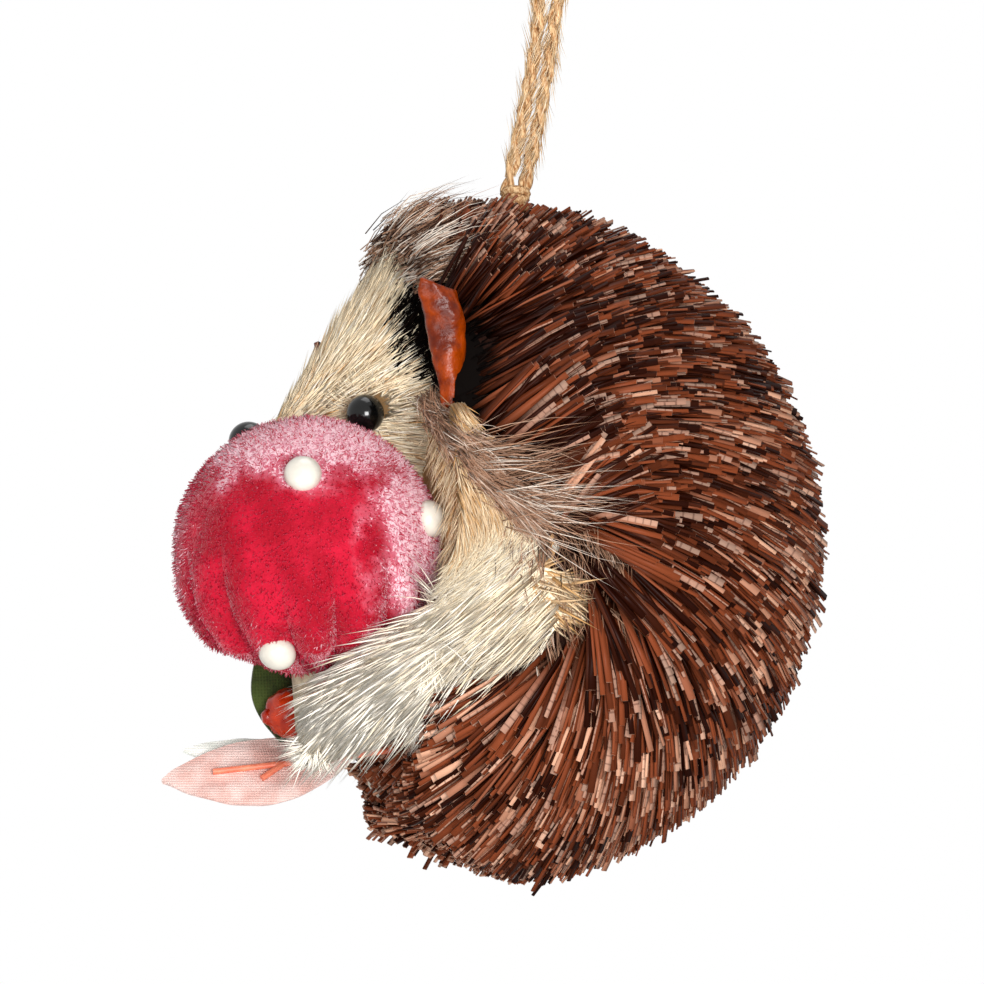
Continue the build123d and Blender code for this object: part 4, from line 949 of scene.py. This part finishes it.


# %% Reed quills
# The quills' roots drop to a tenth of their tone: painted shade in the gaps between them.
reed, tree, shader, card, reed_colour = strand_finish(
    "dyed_reed", "220802", "7b3c22", "dca88a", "c89a80", 0.1, 0.62, 0.97, Roughness=0.38, Specular_IOR_Level=0.05)
pale_strip = maths(tree, "MULTIPLY", maths(tree, "GREATER_THAN", maths(tree, "FRACT", maths(tree, "MULTIPLY", card[0], 6.0)), 0.84),
                   mapped(tree, card[1], 0.2, 0.9, 0.0, 0.5))
paler = mixed(tree, pale_strip, reed_colour, colour("c9a48f"))
rings = mapped(tree, maths(tree, "SINE", maths(tree, "MULTIPLY", card[1], 85.0)), 0.7, 0.95)
ringed = mixed(tree, maths(tree, "MULTIPLY", rings, pale_strip), paler, colour("3a170c"))
tree.links.new(ringed, shader.inputs["Base Color"])
for piece in coat:
    piece.data.materials.append(reed)
tape, tree, shader = finish("dark_tape", Roughness=0.9, Specular_IOR_Level=0.1)
coords = add(tree, "ShaderNodeTexCoord").outputs["Object"]
weave = add(tree, "ShaderNodeTexNoise", {"Vector": coords, "Scale": 900.0, "Detail": 3.0}).outputs[0]
tree.links.new(mixed(tree, weave, colour("120805"), colour("2c140c")), shader.inputs["Base Color"])
coat_tape.data.materials.append(tape)
print("quill finish:", reed.name)

# %% Fur
cream = strand_finish("cream_bristle", "d0a068", "f4e2c2", "faf4e8", "faf4e8", 0.92, 0.3, 0.85, Roughness=0.6, Specular_IOR_Level=0.12)[0]
taupe = strand_finish("taupe_hair", "2a160e", "b58a6e", "f0e4d6", "c9a68c", 0.7, 0.4, 0.85, Roughness=0.6, Specular_IOR_Level=0.1)[0]
for piece in (face_fur, eye_fur, chest_fur, arms["left"][1], arms["right"][1], *flank_furs.values()):
    piece.data.materials.append(cream)
ruff_hair.data.materials.append(taupe)
# Near-black hair for the hollows by the ears: painted shadow.
painted_shadow = strand_finish("painted_shadow_hair", "030101", "080403", "160b07", "080403", 0.8, 0.3, 0.85, Roughness=0.8, Specular_IOR_Level=0.03)[0]
shadow_fur.data.materials.append(painted_shadow)
skin, tree, shader = finish("fur_backing", Roughness=0.85, Specular_IOR_Level=0.1)
coords = add(tree, "ShaderNodeTexCoord").outputs["Object"]
grain = add(tree, "ShaderNodeTexNoise", {"Vector": coords, "Scale": 700.0, "Detail": 4.0}).outputs[0]
# Round each eye the backing turns brown: a painted shadow round the bead.
mirrored = add(tree, "ShaderNodeVectorMath", {0: coords}, operation="ABSOLUTE").outputs[0]
from_eye = add(tree, "ShaderNodeVectorMath", {0: mirrored, 1: np.abs(eye_place) * MM}, operation="DISTANCE").outputs["Value"]
cloth = mixed(tree, grain, colour("f0dcb4"), colour("fdf0d8"))
tree.links.new(mixed(tree, mapped(tree, from_eye, 0.0036, 0.0055), colour("7d6040"), cloth), shader.inputs["Base Color"])
for piece in (face_skin, arms["left"][0], arms["right"][0]):
    piece.data.materials.append(skin)
pelt, tree, shader = finish("pelt_cloth", Roughness=0.9, Specular_IOR_Level=0.05)
coords = add(tree, "ShaderNodeTexCoord").outputs["Object"]
grain = add(tree, "ShaderNodeTexNoise", {"Vector": coords, "Scale": 700.0, "Detail": 4.0}).outputs[0]
up = add(tree, "ShaderNodeSeparateXYZ", {0: coords}).outputs[2]
# Above and below its middle band the cloth is near black: painted shade in the hollows by the ears and in the belly's
# gap.
dyed = maths(tree, "MAXIMUM", mapped(tree, up, (ball[2] + 15) * MM, (ball[2] + 18) * MM),
             mapped(tree, up, (ball[2] - 7) * MM, (ball[2] - 10) * MM))
tree.links.new(mixed(tree, dyed, mixed(tree, grain, colour("b98a58"), colour("d8ae7c")), colour("060302")), shader.inputs["Base Color"])
front_cloth.data.materials.append(pelt)
jute_loose = strand_finish("jute_fibre", "ad7d49", "dfbf94", "fbead0", "f2dfc2", 0.9, 0.3, 0.7, Roughness=0.6, Specular_IOR_Level=0.12)[0]
twine_fibres.data.materials.append(jute_loose)
jute, tree, shader = finish("jute_ply", Roughness=0.75, Specular_IOR_Level=0.2)
coords = add(tree, "ShaderNodeTexCoord").outputs["Object"]
stretched = add(tree, "ShaderNodeMapping", {"Vector": coords, "Scale": (1.0, 1.0, 0.16)}).outputs[0]
grain = add(tree, "ShaderNodeTexNoise", {"Vector": stretched, "Scale": 4200.0, "Detail": 5.0}).outputs[0]
tree.links.new(mixed(tree, mapped(tree, grain, 0.3, 0.7), colour("925a2a"), colour("e6c496")), shader.inputs["Base Color"])
tree.links.new(add(tree, "ShaderNodeBump", {"Height": grain, "Strength": 0.6, "Distance": 0.0003}).outputs[0], shader.inputs["Normal"])
for piece in (twine, knot_wraps):
    piece.data.materials.append(jute)
print("fur finishes:", cream.name, taupe.name)

# %% Velvet
velvet, tree, shader = finish("crushed_velvet", Roughness=0.7, Specular_IOR_Level=0.15, Sheen_Weight=0.6, Sheen_Roughness=0.35,
                              Sheen_Tint=colour("ffd9e2"))
coords = add(tree, "ShaderNodeTexCoord").outputs["Object"]
fine = add(tree, "ShaderNodeTexNoise", {"Vector": coords, "Scale": 1500.0, "Detail": 5.0, "Distortion": 1.5}).outputs[0]
crush = add(tree, "ShaderNodeTexNoise", {"Vector": coords, "Scale": 170.0, "Detail": 4.0}).outputs[0]
red = mixed(tree, mapped(tree, crush, 0.35, 0.68), colour("98001b"), colour("bb0c2d"))
# Towards the cap's top and right edge the velvet is painted a paler pink, with pale specks scattered over it and denser
# there: painted sheen and glints.
centre = add(tree, "ShaderNodeVectorMath", {0: coords, 1: (ball + cap_place) * MM}, operation="SUBTRACT").outputs[0]
sheen_side = maths(tree, "MAXIMUM", *(add(tree, "ShaderNodeVectorMath", {0: centre, 1: way}, operation="DOT_PRODUCT").outputs["Value"]
                                  for way in (to_top, to_right)))
sheen_band = mapped(tree, maths(tree, "ADD", sheen_side, mapped(tree, crush, 0.2, 0.8, -0.004, 0.004)), 0.008, 0.013)
glints = mapped(tree, maths(tree, "ADD", fine, maths(tree, "MULTIPLY", sheen_band, 0.34)), 0.72, 0.95)
with_sheen = mixed(tree, glints, mixed(tree, sheen_band, red, colour("c06a7c")), colour("e6c4cb"))
tree.links.new(with_sheen, shader.inputs["Base Color"])
tree.links.new(add(tree, "ShaderNodeBump", {"Height": fine, "Strength": 0.7, "Distance": 0.0004}).outputs[0], shader.inputs["Normal"])
velvet_cap.data.materials.append(velvet)
pile = strand_finish("velvet_fibre", "92001a", "b01331", "e6c0c9", "c0485f", 0.85, 0.3, 0.75, Roughness=0.5, Specular_IOR_Level=0.15)[0]
velvet_pile.data.materials.append(pile)
print("velvet finish:", velvet.name)

# %% Cloth leaves
def cloth_finish(name, low, high, thread, strength):
    """A stiffened woven cloth, with its threads across each other."""
    material, tree, shader = finish(name, Roughness=0.8, Specular_IOR_Level=0.2, Sheen_Weight=0.2)
    coords = add(tree, "ShaderNodeTexCoord").outputs["Object"]
    warp = add(tree, "ShaderNodeTexWave", {"Vector": coords, "Scale": thread, "Distortion": 1.2}, bands_direction="X").outputs["Fac"]
    weft = add(tree, "ShaderNodeTexWave", {"Vector": coords, "Scale": thread, "Distortion": 1.2}, bands_direction="Z").outputs["Fac"]
    weave = maths(tree, "MULTIPLY", maths(tree, "ADD", warp, weft), 0.5)
    stain = add(tree, "ShaderNodeTexNoise", {"Vector": coords, "Scale": 300.0, "Detail": 4.0}).outputs[0]
    base = mixed(tree, mapped(tree, stain, 0.3, 0.7), colour(low), colour(high))
    tree.links.new(mixed(tree, maths(tree, "MULTIPLY", weave, 0.35), base, colour(high)), shader.inputs["Base Color"])
    tree.links.new(add(tree, "ShaderNodeBump", {"Height": weave, "Strength": strength, "Distance": 0.0002}).outputs[0], shader.inputs["Normal"])
    return material


pink_leaf_cloth.data.materials.append(cloth_finish("pink_cloth", "d8a498", "e8cac2", 900.0, 0.6))
pale_cloth = cloth_finish("pale_cloth", "d9dcd2", "f4f4ee", 900.0, 0.4)
olive_cloth = cloth_finish("olive_cloth", "222b10", "414f1e", 700.0, 0.4)
for piece, cloth in ((pale_leaf_blade, pale_cloth), (pale_leaf_stalk, pale_cloth), (green_leaf_blade, olive_cloth),
                     (green_leaf_stalk, olive_cloth)):
    piece.data.materials.append(cloth)

# %% [markdown]
# The beads, stem, rib, wire and foam keep their CAD solids, whose shape is already right, and get a finish each. The
# new ears, pearls and berry get their finishes here too, with small changes over the surface, because nothing real is
# one flat colour.

# %% Hard pieces
def hard_finish(name, low, high, scale, bump, **sockets):
    """A finish whose colour and height change with a noise of the given scale."""
    material, tree, shader = finish(name, **sockets)
    coords = add(tree, "ShaderNodeTexCoord").outputs["Object"]
    cloud = add(tree, "ShaderNodeTexNoise", {"Vector": coords, "Scale": scale, "Detail": 5.0, "Roughness": 0.6}).outputs[0]
    tree.links.new(mixed(tree, mapped(tree, cloud, 0.3, 0.7), colour(low), colour(high)), shader.inputs["Base Color"])
    tree.links.new(add(tree, "ShaderNodeBump", {"Height": cloud, "Strength": bump, "Distance": 0.0006}).outputs[0], shader.inputs["Normal"])
    return material


hard = {
    "black_bead": hard_finish("black_bead", "030303", "080808", 500.0, 0.02, Roughness=0.14, Specular_IOR_Level=0.35),
    "ear_leather": hard_finish("ear_leather", "501300", "983800", 260.0, 0.9, Roughness=0.3, Specular_IOR_Level=0.2),
    "ear_hollow": hard_finish("ear_hollow", "060302", "140a06", 300.0, 0.3, Roughness=0.9, Specular_IOR_Level=0.05),
    "pearl": hard_finish("pearl_dot", "c8c2b6", "dad4c8", 260.0, 0.05, Roughness=0.28, Coat_Weight=0.3),
    # The stem's cloth is a greyed taupe: painted shade, as under the cap and its fur.
    "stem_cloth": hard_finish("stem_cloth", "9d8d76", "c2b297", 900.0, 0.4, Roughness=0.9),
    "coral_rib": hard_finish("coral_rib", "d9694f", "ee8a68", 600.0, 0.2, Roughness=0.45),
    "berry_red": hard_finish("berry_red", "8c1404", "c63812", 420.0, 0.15, Roughness=0.25, Specular_IOR_Level=0.4),
    "green_wire": hard_finish("green_wire", "2c3516", "4d5a26", 700.0, 0.2, Roughness=0.5),
    "foam": hard_finish("foam", "d9d2c2", "efeadd", 700.0, 0.4, Roughness=0.9),
    "jute": jute,
}
kept = {
    "black_bead": ["nose_bead", "left_eye", "right_eye"],
    "stem_cloth": ["mushroom_stem"], "coral_rib": ["pink_leaf_rib"], "green_wire": ["berry_wire"],
    "foam": ["foam_ball", "face_core", "cap_core"], "jute": ["twine_root"],
}
for key, nodes in kept.items():
    for node in nodes:
        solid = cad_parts[node]
        solid.data.materials.clear()
        solid.data.materials.append(hard[key])
pearls.data.materials.append(hard["pearl"])
waxed_berry.data.materials.append(hard["berry_red"])
for leather in ears.values():
    leather.data.materials.append(hard["ear_leather"])
    leather.data.materials.append(hard["ear_hollow"])
print("solids kept with a finish:", sum(map(len, kept.values())))

# %% [markdown]
# Each new piece is hung on the body that carries it, and the CAD solids it stands for are hidden. The twine rides on
# the hanger, the knot on its own body, and everything else turns with the ornament.

# %% Pieces and bodies
def dress(piece, body="ornament", stands_for=()):
    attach(piece, body)
    if stands_for:
        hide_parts(*stands_for)


for number, piece in enumerate(coat):
    solids = [f"quill_row_{number + 1}"] if number < row_count else [["left_flank_pelt"], ["right_flank_pelt"], []][number - row_count]
    dress(piece, stands_for=solids)
dress(coat_tape)
dress(front_cloth)
dress(face_skin, stands_for=["face_pelt"])
dress(face_fur)
dress(eye_fur)
dress(shadow_fur)
dress(chest_fur, stands_for=["chest_pelt"])
dress(ruff_hair, stands_for=["ruff"])
for word, (pad, fur) in arms.items():
    dress(pad, stands_for=[f"{word}_arm"])
    dress(fur)
    dress(flank_furs[word])
    dress(ears[word], stands_for=[f"{word}_ear"])
dress(velvet_cap, stands_for=["cap_velvet"])
dress(velvet_pile)
dress(pink_leaf_cloth, stands_for=["pink_leaf"])
dress(pale_leaf_blade, stands_for=["pale_leaf"])
dress(green_leaf_blade, stands_for=["green_leaf"])
dress(pale_leaf_stalk)
dress(green_leaf_stalk)
dress(pearls, stands_for=["cap_dots"])
dress(waxed_berry, stands_for=["berry"])
dress(twine, "hanger", ["twine_loop"])
dress(twine_fibres, "hanger")
dress(knot_wraps, "knot", ["twine_knot"])
print("pieces dressed")

# %% [markdown]
# The light is plain and soft. A large lamp stands to the right of the camera, a weaker one to the left, and a
# pale sky fills the rest. Rays from the camera see that sky as white, so the background is white without more
# light on the hedgehog. The floor is far below, because the ornament hangs.

# %% Light and floor
def lamp(name, offset, size, watts):
    """A square lamp at an offset from the ball along the camera's right, up and forward directions."""
    data = bpy.data.lights.new(name, "AREA")
    data.size, data.energy = size, watts
    light = bpy.data.objects.new(name, data)
    away = offset[0] * to_right + offset[1] * to_top + offset[2] * to_camera
    light.location = ball * MM + away
    light.rotation_euler = Vector(away).to_track_quat("Z", "Y").to_euler()
    scene.collection.objects.link(light)


lamp("key_lamp", (0.16, 0.02, 0.98), 0.35, 12)
lamp("fill_lamp", (-0.3, -0.4, 0.85), 0.6, 6)
lamp("top_lamp", (0.1, 0.9, -0.1), 0.6, 3.5)

world = bpy.data.worlds.new("pale_sky")
scene.world = world
world.use_nodes = True
sky = world.node_tree
light_path = add(sky, "ShaderNodeLightPath").outputs
seen = maths(sky, "MAXIMUM", light_path["Is Camera Ray"], maths(sky, "MAXIMUM", light_path["Is Glossy Ray"], light_path["Is Transmission Ray"]))
dim = sky.nodes["Background"]
dim.inputs["Color"].default_value, dim.inputs["Strength"].default_value = (1, 1, 1, 1), 0.22
white = add(sky, "ShaderNodeBackground", {"Color": (1, 1, 1, 1), "Strength": 1.0})
both = add(sky, "ShaderNodeMixShader", {0: seen, 1: dim.outputs[0], 2: white.outputs[0]})
sky.links.new(both.outputs[0], sky.nodes["World Output"].inputs["Surface"])

bm = bmesh.new()
bmesh.ops.create_circle(bm, cap_ends=True, segments=96, radius=300, matrix=Matrix.Translation((-10.3, 0, -250)))
floor = piece_from(bm, "floor")
pale, tree, shader = finish("pale_floor", Roughness=0.8, Specular_IOR_Level=0.1)
coords = add(tree, "ShaderNodeTexCoord").outputs["Object"]
mottle = add(tree, "ShaderNodeTexNoise", {"Vector": coords, "Scale": 20.0}).outputs[0]
tree.links.new(mixed(tree, mottle, (0.86, 0.86, 0.86, 1), (0.9, 0.9, 0.9, 1)), shader.inputs["Base Color"])
floor.data.materials.append(pale)

# %% The last update
bpy.context.view_layer.update()
